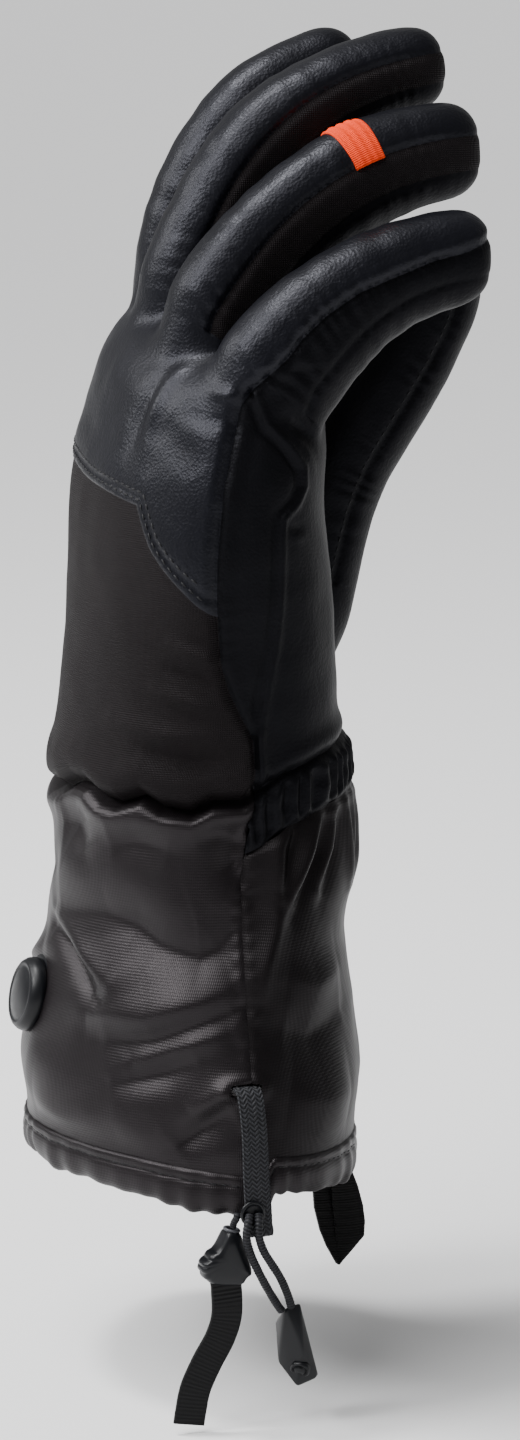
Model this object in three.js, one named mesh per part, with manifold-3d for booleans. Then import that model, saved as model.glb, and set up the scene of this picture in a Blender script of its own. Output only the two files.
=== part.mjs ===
// A padded gauntlet glove for the right hand, filled out as worn, fingers up.
// Millimetres. +Z runs to the fingertips, +X to the little finger, -Y to the back of the hand.
// The origin is the middle of the cuff's mouth.

import * as THREE from 'three';
import { mergeVertices } from 'three/addons/utils/BufferGeometryUtils.js';
import Module from 'manifold-3d';

const wasm = await Module();
wasm.setup();

// Driving dimensions
const CUFF_LENGTH = 118;
const HEM_WIDTH = 136;
const HEM_DEPTH = 89;
const HEM_HEIGHT = 12;
const HEM_PROUD = 0.8;
const CUFF_WALL = 2;
const HAND_LENGTH = 134;
const HAND_WIDTH = 108;
const HAND_DEPTH = 80;
const HAND_WALL = 4;
const KNUCKLE_DROP = 20;
const FINGER_PITCH = 26;
const FINGER_MIDDLE = -2;
const FINGER_LENGTH = 108;
const FINGER_DEPTH = 31;
const FINGER_WIDTH = 25.4;
const THUMB_LENGTH = 160;
const THUMB_DEPTH = 36;
const THUMB_WIDTH = 33;
const THUMB_X = -41;
const ELASTIC_HEIGHT = 15;
const BAND_WIDTH = 8.5;
const BAND_THICK = 1.3;
const BUTTON_DIAMETER = 22;
const BUTTON_HEIGHT = 5.6;
const BRAID_WIDTH = 7.4;
const BRAID_THICK = 1.3;
const CORD_DIAMETER = 2.3;
const LOCK_X = 67;
const LOCK_THICK = 8;
const TAB_WIDTH = 9;
const TAB_THICK = 1.6;
const TOGGLE_X = 66;
const TOGGLE_THICK = 8;
const RIBBON_WIDTH = 9;
const RIBBON_THICK = 1.2;
const LOOP_X = -2;
const BRAID_DROP = 3.2;
const EYELET_BORE = 5.6;
const EYELET_RIM = 0.9;
const EYELET_PLACE = { y: -7.5, z: 3.5 };
const LINK_DIAMETER = 2;
const BUTTON_BASE = 1.2;
const BUTTON_RIM = 1.4;
const BUTTON_SINK = 4;
const BUTTON_STAND = -1.2;
const BUTTON_SIDES = 20;
const GAP = 0.3;
const TRIM = 0.08;

// How far a cutter reaches past what it cuts
const REACH = 200;

const X = new THREE.Vector3(1, 0, 0);
const Y = new THREE.Vector3(0, 1, 0);
const Z = new THREE.Vector3(0, 0, 1);

// Hand sections: height from the wrist, half width, half depth, shift to the palm, drop on the little-finger side
const HAND_SECTIONS = [
  { height: -0.15, width: 0.9, depth: 1.04, shift: 0.1, drop: 0 },
  { height: 0, width: 0.9, depth: 1.05, shift: 0.08, drop: 0 },
  { height: 0.11, width: 0.91, depth: 0.96, shift: 0.05, drop: 0 },
  { height: 0.24, width: 0.94, depth: 0.9, shift: 0.05, drop: 0.05 },
  { height: 0.42, width: 0.99, depth: 0.85, shift: 0.05, drop: 0.2 },
  { height: 0.63, width: 1, depth: 0.78, shift: 0.05, drop: 0.5 },
  { height: 0.8, width: 0.98, depth: 0.72, shift: 0.12, drop: 0.8 },
  { height: 0.9, width: 0.93, depth: 0.64, shift: 0.17, drop: 0.95 },
  { height: 0.96, width: 0.85, depth: 0.52, shift: 0.22, drop: 1 },
  { height: 1, width: 0.6, depth: 0.28, shift: 0.26, drop: 1 },
];

// Cuff sections: height, half width, half depth, shift to the palm, and how round the section is
const CUFF_SECTIONS = [
  { height: -0.02, width: 0.985, depth: 1, shift: -0.02, round: 1.7 },
  { height: 0.04, width: 0.995, depth: 1.05, shift: -0.02, round: 1.7 },
  { height: 0.1, width: 0.985, depth: 1.06, shift: -0.02, round: 1.7 },
  { height: 0.29, width: 0.95, depth: 1.1, shift: -0.02, round: 1.7 },
  { height: 0.42, width: 0.9, depth: 1.04, shift: 0.01, round: 1.75 },
  { height: 0.59, width: 0.82, depth: 0.95, shift: 0.02, round: 1.85 },
  { height: 0.76, width: 0.75, depth: 1, shift: 0.06, round: 1.9 },
  { height: 0.89, width: 0.71, depth: 0.955, shift: 0.09, round: 2 },
  { height: 1, width: 0.705, depth: 0.93, shift: 0.08, round: 2.1 },
  { height: 1.2, width: 0.715, depth: 0.88, shift: 0.03, round: 2.2 },
];

// How far the hem is pulled up or sags round the cuff, on the hem's height
const HEM_LIFT = [
  { turn: -180, lift: 0 },
  { turn: -90, lift: 0.4 },
  { turn: -45, lift: 0.3 },
  { turn: -12, lift: 0 },
  { turn: -4, lift: 0 },
  { turn: 4, lift: 0.6 },
  { turn: 16, lift: 0.45 },
  { turn: 36, lift: 0.22 },
  { turn: 70, lift: -0.1 },
  { turn: 180, lift: 0 },
];
const LIFT_REACH = 0.35;

// The cuff's side seams: place on its half depth
const CUFF_SEAM = [
  { height: 0, shift: -0.12 },
  { height: 0.2, shift: -0.11 },
  { height: 0.55, shift: -0.09 },
  { height: 0.8, shift: -0.05 },
  { height: 1, shift: 0.07 },
  { height: 1.3, shift: 0.09 },
];

// Folds of the cuff: place round it and up it, slope, then length and width on the cuff's length, and depth in walls
const CUFF_FOLDS = [
  { turn: -62, height: 0.6, slope: -20, length: 0.5, width: 0.09, depth: 1.6 },
  { turn: -95, height: 0.57, slope: -12, length: 0.35, width: 0.1, depth: 1.2 },
  { turn: -45, height: 0.42, slope: -14, length: 0.5, width: 0.07, depth: -1.5 },
  { turn: -80, height: 0.74, slope: 35, length: 0.2, width: 0.09, depth: -1.6 },
  { turn: -12, height: 0.78, slope: 80, length: 0.22, width: 0.09, depth: -1.4 },
  { turn: -22, height: 0.17, slope: 42, length: 0.35, width: 0.06, depth: -1.4 },
  { turn: -30, height: 0.26, slope: 42, length: 0.35, width: 0.06, depth: 1.2 },
  { turn: 32, height: 0.68, slope: 74, length: 0.6, width: 0.07, depth: 1.4 },
  { turn: 12, height: 0.72, slope: 82, length: 0.4, width: 0.05, depth: 1 },
  { turn: 55, height: 0.6, slope: 95, length: 0.35, width: 0.06, depth: 1.1 },
  { turn: 20, height: 1, slope: 90, length: 0.22, width: 0.04, depth: 1 },
  { turn: 45, height: 1, slope: 90, length: 0.22, width: 0.04, depth: 1 },
  { turn: 70, height: 1, slope: 90, length: 0.22, width: 0.04, depth: 1 },
  { turn: 95, height: 1, slope: 90, length: 0.22, width: 0.04, depth: 1 },
  { turn: 20, height: 0.4, slope: 20, length: 0.3, width: 0.08, depth: -1 },
  { turn: 95, height: 0.55, slope: 12, length: 0.5, width: 0.1, depth: -1.4 },
  { turn: 130, height: 0.35, slope: -20, length: 0.4, width: 0.08, depth: 1.2 },
  { turn: 180, height: 0.6, slope: 25, length: 0.5, width: 0.09, depth: -1.3 },
  { turn: 215, height: 0.4, slope: -25, length: 0.45, width: 0.08, depth: 1.3 },
];

// Fingers: place across in pitches, and root towards the palm and up from the wrist on the hand's depth and length.
// Then lean at root and tip, length, depth at root and tip, and where the panels start on the finger's length
const FINGERS = [
  {
    name: 'little',
    across: 1.5,
    palm: 0.15,
    height: 0.851,
    root: 39,
    tip: 88,
    length: 0.685,
    deep: 1.2,
    end: 0.8,
    start: -0.06,
  },
  {
    name: 'ring',
    across: 0.5,
    palm: 0.06,
    height: 0.963,
    root: 33,
    tip: 88,
    length: 0.88,
    deep: 1.1,
    end: 0.87,
    start: -0.07,
  },
  {
    name: 'middle',
    across: -0.5,
    palm: 0.06,
    height: 1,
    root: 18,
    tip: 85,
    length: 1,
    deep: 1,
    end: 0.77,
    start: -0.06,
  },
  {
    name: 'index',
    across: -1.5,
    palm: 0.15,
    height: 0.896,
    root: -3,
    tip: 75,
    length: 0.97,
    deep: 1,
    end: 0.84,
    start: 0.05,
  },
];

// How a finger's lean grows from root to tip
const FINGER_BEND = [
  { at: 0, share: 0 },
  { at: 0.25, share: 0.16 },
  { at: 0.5, share: 0.45 },
  { at: 0.75, share: 0.78 },
  { at: 1, share: 1 },
];

// The thumb's lean in degrees along its length
const THUMB_BEND = [
  { at: 0, lean: 50 },
  { at: 0.2, lean: 24 },
  { at: 0.45, lean: 16 },
  { at: 0.66, lean: 35 },
  { at: 0.82, lean: 32 },
  { at: 1, lean: 6 },
];
const THUMB_ROOT = { palm: 0.3, height: 0 };
const THUMB_START = 0.34;
const THUMB_TIP_DEPTH = 0.8;

// Seams of a finger, on its half depth, and the share of its width left at the tip
const BACK_SEAM = 0.32;
const FRONT_SEAM = -0.4;
const TIP_WIDTH = 0.86;
const FINGER_ROOT_OVERLAP = 24;
const ROOT_TUCK = 0.94;
const ROOT_COURSE = 0.5;
const PAST_TIP = 1.3;

// How round the hand's and the digits' sections are, and how finely each form is made
const PAD_ROUND = 2.3;
const DIGIT_ROWS = 6;
const FINGER_SIDES = 12;
const INNER_SIDES = 8;
const HAND_SIDES = 28;
const CUFF_SIDES = 32;
const CUFF_ROWS = 10;
const DOME_ROWS = [0.5, 0.78, 0.95];

// The outer edge of the hand: its two seams part above the wrist. Shares of the hand's depth and length
const BACK_EDGE_SEAM = [
  { palm: 0.02, height: -0.4 },
  { palm: 0.03, height: 0.11 },
  { palm: -0.09, height: 0.24 },
  { palm: -0.125, height: 0.42 },
  { palm: -0.11, height: 0.64 },
  { palm: -0.03, height: 0.8 },
  { palm: 0.1, height: 1.1 },
];
const FRONT_EDGE_SEAM = [
  { palm: 0.02, height: -0.4 },
  { palm: 0.034, height: 0.112 },
  { palm: 0.04, height: 0.2 },
  { palm: 0.05, height: 0.36 },
  { palm: 0.05, height: 0.58 },
  { palm: 0.14, height: 0.7 },
  { palm: 0.4, height: 1 },
];

// The leather yoke's lower edge on the back: shares of the hand's width and length
const YOKE_SEAM = [
  { across: -1.2, height: 0.68 },
  { across: 0.26, height: 0.59 },
  { across: 0.46, height: 0.38 },
  { across: 1.2, height: 0.2 },
];

const WRIST_SLOPE = 0.28;
const BAND_PLACE = 0.62;
const BUTTON_PLACE = { x: -8, height: 0.43, tilt: 13 };
const SLIT_HEIGHT = 0.31;
const SLIT_LENGTH = 6;
const SLIT_CLEARANCE = 1;
const SLIT_SHIFT = -2;

// The pull tab's path: place towards the palm, height, turn of its width
const TAB_PATH = [
  [-13.4, -18.9, 90],
  [-13.3, -26.6, 90],
  [-15.3, -33, 90],
  [-19.2, -39.8, 88],
  [-22.6, -47, 86],
  [-24, -53.5, 86],
  [-24.6, -57.2, 86],
];

// The ribbon's path: place towards the palm, height, turn of its width
const LOOP_PATH = [
  [37.6, 8, 0],
  [38, -6, -6],
  [39.2, -20, -10],
  [41, -31, -4],
  [44.6, -38, 0],
  [48.6, -38.6, 0],
  [51.6, -33, 12],
  [51.4, -24, 24],
  [48.4, -14, 18],
  [41, -5, 6],
  [38.9, 8, 0],
];

// The two strands from the eyelet to the toggle, and the short one from the braid's edge to the lock
const CORD_ROUTES = [
  {
    name: 'drawcord_a',
    points: [
      [73.3, -8.8, 3.4],
      [74.6, -9.6, 1.6],
      [74.8, -10.2, -1.5],
      [74.4, -9.6, -5],
      [73.6, -7.6, -10],
      [72.5, -5, -15],
      [70.8, -2, -20],
      [69, 1, -24.6],
      [68, 2.6, -26.7],
    ],
  },
  {
    name: 'drawcord_b',
    points: [
      [73.3, -6.1, 3.4],
      [74.8, -6.6, 1.4],
      [75, -6.7, -2],
      [74.5, -5.2, -6.5],
      [73.6, -2.7, -10.6],
      [72.5, 0, -14.6],
      [71.4, 2.2, -18.6],
      [70.2, 4, -22.6],
      [69.4, 5.1, -25.6],
    ],
  },
];
const LINK_ROUTE = [
  [70.4, -11.3, 3.4],
  [70.2, -11.5, 2],
  [69, -11.8, 0.5],
  [68.2, -11.9, -1.1],
];

const leather = new THREE.MeshStandardMaterial({ color: 0x1d1e20, roughness: 0.48, metalness: 0 });
const cloth = new THREE.MeshStandardMaterial({ color: 0x2a2829, roughness: 0.88, metalness: 0 });
const shell = new THREE.MeshStandardMaterial({ color: 0x2b282b, roughness: 0.55, metalness: 0 });
const elastic = new THREE.MeshStandardMaterial({ color: 0x343539, roughness: 0.9, metalness: 0 });
const orange = new THREE.MeshStandardMaterial({ color: 0xee5a22, roughness: 0.8, metalness: 0 });
const rubber = new THREE.MeshStandardMaterial({ color: 0x242529, roughness: 0.6, metalness: 0 });
const plastic = new THREE.MeshStandardMaterial({ color: 0x303134, roughness: 0.4, metalness: 0 });

const radians = THREE.MathUtils.degToRad;

// A value read from a table between its rows
function readTable(rows, key, column, at) {
  const last = rows.length - 1;
  if (at <= rows[0][key]) return rows[0][column];
  if (at >= rows[last][key]) return rows[last][column];
  const next = rows.findIndex((row) => row[key] >= at);
  const low = rows[next - 1];
  const high = rows[next];
  const share = (at - low[key]) / (high[key] - low[key]);
  return low[column] + share * (high[column] - low[column]);
}

// A closed skin over rings of points, each end closed to its middle
function loftRings(rings) {
  const sides = rings[0].length;
  const points = rings.flat();
  const middles = [rings[0], rings[rings.length - 1]].map((ring) =>
    ring.reduce((sum, point) => sum.add(point), new THREE.Vector3()).divideScalar(sides)
  );
  const faces = [];
  for (let row = 0; row < rings.length - 1; row++) {
    for (let side = 0; side < sides; side++) {
      const next = (side + 1) % sides;
      const a = row * sides + side;
      const b = row * sides + next;
      faces.push(a, b, b + sides, a, b + sides, a + sides);
    }
  }
  const first = points.length;
  const top = (rings.length - 1) * sides;
  for (let side = 0; side < sides; side++) {
    const next = (side + 1) % sides;
    faces.push(first, next, side, first + 1, top + side, top + next);
  }
  const geometry = new THREE.BufferGeometry().setFromPoints([...points, ...middles]);
  geometry.setIndex(faces);
  return geometry;
}

function signedVolume(position, index) {
  const a = new THREE.Vector3();
  const b = new THREE.Vector3();
  const c = new THREE.Vector3();
  let volume = 0;
  for (let i = 0; i < index.length; i += 3) {
    a.fromBufferAttribute(position, index[i]);
    b.fromBufferAttribute(position, index[i + 1]);
    c.fromBufferAttribute(position, index[i + 2]);
    volume += a.dot(b.cross(c)) / 6;
  }
  return volume;
}

// A solid for joining and cutting, with its faces turned outwards
function toSolid(geometry) {
  const bare = geometry.clone();
  bare.deleteAttribute('normal');
  bare.deleteAttribute('uv');
  const merged = mergeVertices(bare, 1e-4);
  const triVerts = Uint32Array.from(merged.index.array);
  if (signedVolume(merged.attributes.position, triVerts) < 0) triVerts.reverse();
  const vertProperties = Float32Array.from(merged.attributes.position.array);
  return new wasm.Manifold(new wasm.Mesh({ numProp: 3, vertProperties, triVerts }));
}

// The largest body of a solid that a cut has left in pieces
function largest(solid) {
  return solid.decompose().reduce((best, one) => (one.volume() > best.volume() ? one : best));
}

function toGeometry(solid) {
  const mesh = solid.getMesh();
  const geometry = new THREE.BufferGeometry();
  geometry.setAttribute('position', new THREE.BufferAttribute(mesh.vertProperties, 3));
  geometry.setIndex(new THREE.BufferAttribute(mesh.triVerts, 1));
  geometry.computeVertexNormals();
  return geometry;
}

// A flat outline in Y and Z, or in X and Z, pushed out along the third axis
function slabAcross(outline, lowX, highX) {
  const shape = new THREE.Shape(outline.map(([y, z]) => new THREE.Vector2(y, z)));
  const geometry = new THREE.ExtrudeGeometry(shape, { depth: highX - lowX, bevelEnabled: false });
  geometry.applyMatrix4(new THREE.Matrix4().makeBasis(Y, Z, X));
  return geometry.translate(lowX, 0, 0);
}

function slabDeep(outline, lowY, highY) {
  const shape = new THREE.Shape(outline.map(([x, z]) => new THREE.Vector2(x, z)));
  const geometry = new THREE.ExtrudeGeometry(shape, { depth: highY - lowY, bevelEnabled: false });
  geometry.applyMatrix4(new THREE.Matrix4().makeBasis(X, Z, Y.clone().negate()));
  return geometry.translate(0, highY, 0);
}

// A rounded box section: power 2 is an ellipse, more is squarer
function roundedRing(sides, halfWidth, halfDepth, power, place) {
  const ring = [];
  for (let side = 0; side < sides; side++) {
    const turn = (2 * Math.PI * (side + 0.5)) / sides;
    const across = Math.sign(Math.cos(turn)) * Math.abs(Math.cos(turn)) ** (2 / power) * halfWidth;
    const deep = Math.sign(Math.sin(turn)) * Math.abs(Math.sin(turn)) ** (2 / power) * halfDepth;
    ring.push(place(across, deep, turn));
  }
  return ring;
}

// The hand as a closed form, shrunk or grown by an inset
function handForm(inset, sides) {
  const rings = HAND_SECTIONS.map((row) => {
    const halfWidth = (row.width * HAND_WIDTH) / 2 - inset;
    const halfDepth = (row.depth * HAND_DEPTH) / 2 - inset;
    const height = CUFF_LENGTH + row.height * HAND_LENGTH - inset * (row.height > 0.5 ? row.height : 0);
    const shift = (row.shift * HAND_DEPTH) / 2;
    return roundedRing(sides, halfWidth, halfDepth, PAD_ROUND, (across, deep) => {
      const drop = row.drop * KNUCKLE_DROP * ((1 + across / halfWidth) / 2) ** 2;
      return new THREE.Vector3(across + FINGER_MIDDLE / 2, shift + deep, height - drop);
    });
  });
  return loftRings(rings);
}

// How far the folds push the cuff out at a place, in walls
function foldAt(turn, height) {
  const roundStep = (HEM_WIDTH + HEM_DEPTH) / 4;
  return CUFF_FOLDS.reduce((sum, fold) => {
    const around = Math.atan2(Math.sin(turn - radians(fold.turn)), Math.cos(turn - radians(fold.turn)));
    const side = around * roundStep;
    const up = (height - fold.height) * CUFF_LENGTH;
    const slope = radians(fold.slope);
    const along = side * Math.cos(slope) + up * Math.sin(slope);
    const off = up * Math.cos(slope) - side * Math.sin(slope);
    const reach = (fold.length * CUFF_LENGTH) / 2;
    const spread = fold.width * CUFF_LENGTH;
    return sum + fold.depth * Math.exp(-((along / reach) ** 2) - (off / spread) ** 2);
  }, 0);
}

// The cuff as a closed form from a low to a high height, with or without its folds
function cuffForm(inset, sides, rows, low, high, folded) {
  const rings = [];
  for (let row = 0; row <= rows; row++) {
    const height = low + ((high - low) * row) / rows;
    const halfWidth = (readTable(CUFF_SECTIONS, 'height', 'width', height) * HEM_WIDTH) / 2 - inset;
    const halfDepth = (readTable(CUFF_SECTIONS, 'height', 'depth', height) * HEM_DEPTH) / 2 - inset;
    const shift = (readTable(CUFF_SECTIONS, 'height', 'shift', height) * HEM_DEPTH) / 2;
    const calm = THREE.MathUtils.clamp((height - HEM_HEIGHT / CUFF_LENGTH) / 0.1, 0, 1);
    const round = readTable(CUFF_SECTIONS, 'height', 'round', height);
    rings.push(roundedRing(sides, halfWidth, halfDepth, round, (across, deep, turn) => {
      const push = folded ? (foldAt(turn, height) * CUFF_WALL * calm) / 2 : 0;
      const grow = 1 + push / Math.hypot(across, deep);
      const fade = THREE.MathUtils.clamp(1 - height / LIFT_REACH, 0, 1);
      const degrees = THREE.MathUtils.radToDeg(Math.atan2(Math.sin(turn), Math.cos(turn)));
      const lift = readTable(HEM_LIFT, 'turn', 'lift', degrees) * HEM_HEIGHT * fade;
      return new THREE.Vector3(across * grow, shift + deep * grow, height * CUFF_LENGTH + lift);
    }));
  }
  return loftRings(rings);
}

// A digit's middle line: place, lean and size at even steps, from before its root to its tip
function digitLine(digit) {
  const steps = 48;
  const stations = [];
  let y = digit.y;
  let z = digit.z;
  for (let step = 0; step <= steps; step++) {
    const share = step / steps;
    const lean = digit.lean(share);
    if (step > 0) {
      y += (Math.sin(lean) * digit.length) / steps;
      z += (Math.cos(lean) * digit.length) / steps;
    }
    stations.push({ share, y, z, lean });
  }
  return stations;
}

// A digit's station at any share of its length: straight on before the root and past the tip
function stationAt(digit, share) {
  const line = digit.line;
  const last = line.length - 1;
  const inside = THREE.MathUtils.clamp(share, 0, 1);
  const step = Math.round(inside * last);
  const near = line[step];
  const over = (share - near.share) * digit.length;
  const course = share < 0 ? near.lean * ROOT_COURSE : near.lean;
  return {
    y: near.y + Math.sin(course) * over,
    z: near.z + Math.cos(course) * over,
    lean: near.lean,
    halfDepth: (digit.depth * THREE.MathUtils.lerp(digit.deep, digit.end, inside)) / 2,
    halfWidth: (digit.width * THREE.MathUtils.lerp(1, TIP_WIDTH, inside)) / 2,
  };
}

// A digit as a closed tube with a domed tip, shrunk or grown by an inset
function digitForm(digit, inset, sides) {
  const tip = digit.length - inset;
  const dome = (digit.depth * digit.end) / 2;
  const stem = digit.length - dome;
  const places = [-digit.overlap];
  for (let row = 0; row <= DIGIT_ROWS; row++) places.push((stem * row) / DIGIT_ROWS);
  DOME_ROWS.forEach((row) => places.push(stem + (tip - stem) * row));
  const rings = places.map((along) => {
    const station = stationAt(digit, along / digit.length);
    const into = THREE.MathUtils.clamp((along - stem) / (tip - stem), 0, 1);
    const round = Math.sqrt(1 - into ** 2.2);
    const tuck = along < 0 ? ROOT_TUCK : 1;
    const width = Math.max((station.halfWidth - inset) * round * tuck, 1);
    const depth = Math.max((station.halfDepth - inset) * round * tuck, 1);
    return roundedRing(sides, width, depth, PAD_ROUND, (across, deep) => new THREE.Vector3(
      digit.x + across,
      station.y - deep * Math.cos(station.lean),
      station.z + deep * Math.sin(station.lean)
    ));
  });
  return loftRings(rings);
}

// The slab of space beside a digit's middle line between two depths, each a share of its half depth
// or, past 1 either way, simply far out
function digitSlab(digit, low, high, from, to, lowX, highX) {
  const far = FINGER_DEPTH * 1.3;
  const steps = 7;
  const edge = (level, gap) => {
    const points = [];
    for (let step = 0; step <= steps; step++) {
      const station = stationAt(digit, from + ((to - from) * step) / steps);
      const deep = Math.abs(level) > 1 ? Math.sign(level) * far : level * station.halfDepth + gap;
      points.push([station.y - deep * Math.cos(station.lean), station.z + deep * Math.sin(station.lean)]);
    }
    return points;
  };
  const outline = [...edge(low, GAP / 2), ...edge(high, -GAP / 2).reverse()];
  return toSolid(slabAcross(outline, lowX, highX));
}

function makeFinger(row) {
  const digit = {
    name: row.name,
    x: FINGER_MIDDLE + row.across * FINGER_PITCH,
    y: row.palm * HAND_DEPTH,
    z: CUFF_LENGTH + row.height * HAND_LENGTH,
    length: row.length * FINGER_LENGTH,
    depth: FINGER_DEPTH,
    width: FINGER_WIDTH,
    deep: row.deep,
    end: row.end,
    start: row.start,
    overlap: FINGER_ROOT_OVERLAP,
    lean: (share) => radians(THREE.MathUtils.lerp(row.root, row.tip, readTable(FINGER_BEND, 'at', 'share', share))),
  };
  digit.line = digitLine(digit);
  return digit;
}

function makeThumb() {
  const digit = {
    name: 'thumb',
    x: THUMB_X,
    y: THUMB_ROOT.palm * HAND_DEPTH,
    z: CUFF_LENGTH + THUMB_ROOT.height * HAND_LENGTH,
    length: THUMB_LENGTH,
    depth: THUMB_DEPTH,
    width: THUMB_WIDTH,
    deep: 1,
    end: THUMB_TIP_DEPTH,
    start: THUMB_START,
    overlap: 0,
    lean: (share) => radians(readTable(THUMB_BEND, 'at', 'lean', share)),
  };
  digit.line = digitLine(digit);
  return digit;
}

const group = new THREE.Group();

function add(name, solid, material) {
  const mesh = new THREE.Mesh(toGeometry(largest(solid).simplify(TRIM)), material);
  mesh.name = name;
  group.add(mesh);
}

// The hand and its digits as one padded wall round one hollow
const fingers = FINGERS.map(makeFinger);
const thumb = makeThumb();
const digits = [...fingers, thumb];
const handOuter = toSolid(handForm(0, HAND_SIDES));
const handInner = toSolid(handForm(HAND_WALL, INNER_SIDES * 2));
const outer = digits.reduce((form, digit) => form.add(toSolid(digitForm(digit, 0, FINGER_SIDES))), handOuter);
const inner = digits.reduce((form, digit) => form.add(toSolid(digitForm(digit, HAND_WALL, INNER_SIDES))), handInner);

// Everything above the sloping wrist seam, or below it
function wristSlab(above, gap) {
  const level = (y) => CUFF_LENGTH + WRIST_SLOPE * y + gap;
  const end = above ? REACH * 2 : -REACH;
  return toSolid(slabAcross(
    [[-REACH, level(-REACH)], [REACH, level(REACH)], [REACH, end], [-REACH, end]],
    -REACH,
    REACH
  ));
}

const wall = outer.subtract(inner).intersect(wristSlab(true, GAP / 2));

// The side boundaries of each finger, halfway to its neighbours
function fingerSides(row) {
  const middle = FINGER_MIDDLE + row.across * FINGER_PITCH;
  const half = FINGER_PITCH / 2 - GAP / 2;
  return [
    row.across < -1 ? -REACH : middle - half,
    row.across > 1 ? REACH : middle + half,
  ];
}

let handWall = wall;
FINGERS.forEach((row, place) => {
  const digit = fingers[place];
  const [lowX, highX] = fingerSides(row);
  const part = (low, high) => wall.intersect(digitSlab(digit, low, high, digit.start, PAST_TIP, lowX, highX));
  add(`${row.name}_back`, part(BACK_SEAM, 2), leather);
  add(`${row.name}_fourchette`, part(FRONT_SEAM, BACK_SEAM), row.name === 'little' ? leather : cloth);
  add(`${row.name}_front`, part(-2, FRONT_SEAM), leather);
  const whole = digitSlab(digit, -2, 2, digit.start - GAP / digit.length, PAST_TIP, lowX - GAP, highX + GAP);
  handWall = handWall.subtract(whole);
});

// The thumb stands out of the palm: its pieces end at the hand's own surface
const thumbSlab = (low, high, start) => digitSlab(thumb, low, high, start, PAST_TIP, -REACH, THUMB_X + THUMB_WIDTH);
const handGrown = toSolid(handForm(-GAP, HAND_SIDES));
const thumbWall = wall.subtract(handGrown);
add('thumb_back', thumbWall.intersect(thumbSlab(0, 2, THUMB_START)), leather);
add('thumb_front', thumbWall.intersect(thumbSlab(-2, 0, THUMB_START)), leather);
handWall = handWall.subtract(thumbSlab(-2, 2, THUMB_START - GAP / THUMB_LENGTH).subtract(handOuter));

// The hand's panels: back of the hand, palm, and the outer edge between two seams
function edgeOutline(rows, side, gap) {
  const seam = rows.map((row) => [row.palm * HAND_DEPTH + gap, CUFF_LENGTH + row.height * HAND_LENGTH]);
  const far = side * REACH;
  return [...seam, [far, seam[seam.length - 1][1]], [far, seam[0][1]]];
}

const backSpace = toSolid(slabAcross(edgeOutline(BACK_EDGE_SEAM, -1, -GAP / 2), -REACH, REACH));
const notBack = toSolid(slabAcross(edgeOutline(BACK_EDGE_SEAM, 1, GAP / 2), -REACH, REACH));
const frontSpace = toSolid(slabAcross(edgeOutline(FRONT_EDGE_SEAM, 1, GAP / 2), -REACH, REACH));
const notFront = toSolid(slabAcross(edgeOutline(FRONT_EDGE_SEAM, -1, -GAP / 2), -GAP / 2, REACH));
const radialHalf = toSolid(slabAcross([[-REACH, 0], [REACH, 0], [REACH, 2 * REACH], [-REACH, 2 * REACH]], -REACH, 0));
const palmSpace = frontSpace.add(notBack.intersect(radialHalf));

function yokeOutline(gap, end) {
  const seam = YOKE_SEAM.map((row) => [
    row.across * HAND_WIDTH,
    CUFF_LENGTH + row.height * HAND_LENGTH + gap,
  ]);
  return [...seam, [seam[seam.length - 1][0], end], [seam[0][0], end]];
}

const backWall = handWall.intersect(backSpace);
add('back_yoke', backWall.intersect(toSolid(slabDeep(yokeOutline(GAP / 2, 2 * REACH), -REACH, REACH))), leather);
add('back_panel', backWall.intersect(toSolid(slabDeep(yokeOutline(-GAP / 2, 0), -REACH, REACH))), cloth);
add('palm_panel', handWall.intersect(palmSpace), leather);
add('side_gusset', handWall.intersect(notBack).intersect(notFront), leather);

// The cuff: two panels, a hem and a shirred strip under the palm
const hemShare = HEM_HEIGHT / CUFF_LENGTH;
const cuffStart = hemShare + GAP / 2 / CUFF_LENGTH;
const cuffOuter = toSolid(cuffForm(0, CUFF_SIDES, CUFF_ROWS, cuffStart, 1.15, true));
const cuffInner = toSolid(cuffForm(CUFF_WALL, CUFF_SIDES, CUFF_ROWS, cuffStart - 0.02, 1.17, true));
const cuffWall = cuffOuter.subtract(cuffInner).intersect(wristSlab(false, -GAP / 2));

function cuffSeamAt(height) {
  return (readTable(CUFF_SEAM, 'height', 'shift', height / CUFF_LENGTH) * HEM_DEPTH) / 2;
}

// The space on one side of the cuff's side seams, above a line that may slope
function seamSide(side, gap, low) {
  const seam = CUFF_SEAM.map((row) => [
    (row.shift * HEM_DEPTH) / 2 + side * gap,
    row.height * CUFF_LENGTH,
  ]).filter(([y, z]) => z > low(y));
  const [firstY] = seam[0];
  const [lastY] = seam[seam.length - 1];
  const far = side * REACH;
  const top = 2 * REACH;
  const outline = [[firstY, low(firstY)], ...seam, [lastY, top], [far, top], [far, low(far)]];
  return toSolid(slabAcross(outline, -REACH, REACH));
}

const slitHeight = SLIT_HEIGHT * CUFF_LENGTH;
const slitHalf = BRAID_WIDTH / 2 + SLIT_CLEARANCE;
const slitY = cuffSeamAt(slitHeight);
const slitMiddle = slitY + SLIT_SHIFT;
const slit = toSolid(slabAcross(
  [
    [slitMiddle - slitHalf, slitHeight - SLIT_LENGTH / 2],
    [slitMiddle + slitHalf, slitHeight - SLIT_LENGTH / 2],
    [slitMiddle + slitHalf, slitHeight + SLIT_LENGTH / 2],
    [slitMiddle - slitHalf, slitHeight + SLIT_LENGTH / 2],
  ],
  0,
  REACH
));
const stripLow = (y) => CUFF_LENGTH + WRIST_SLOPE * y - ELASTIC_HEIGHT;
const stripSpace = seamSide(1, GAP / 2, stripLow);
const stripCut = seamSide(1, 0, (y) => stripLow(y) - GAP);
add('cuff_back', cuffWall.intersect(seamSide(-1, GAP / 2, () => 0)).subtract(slit), shell);
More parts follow.
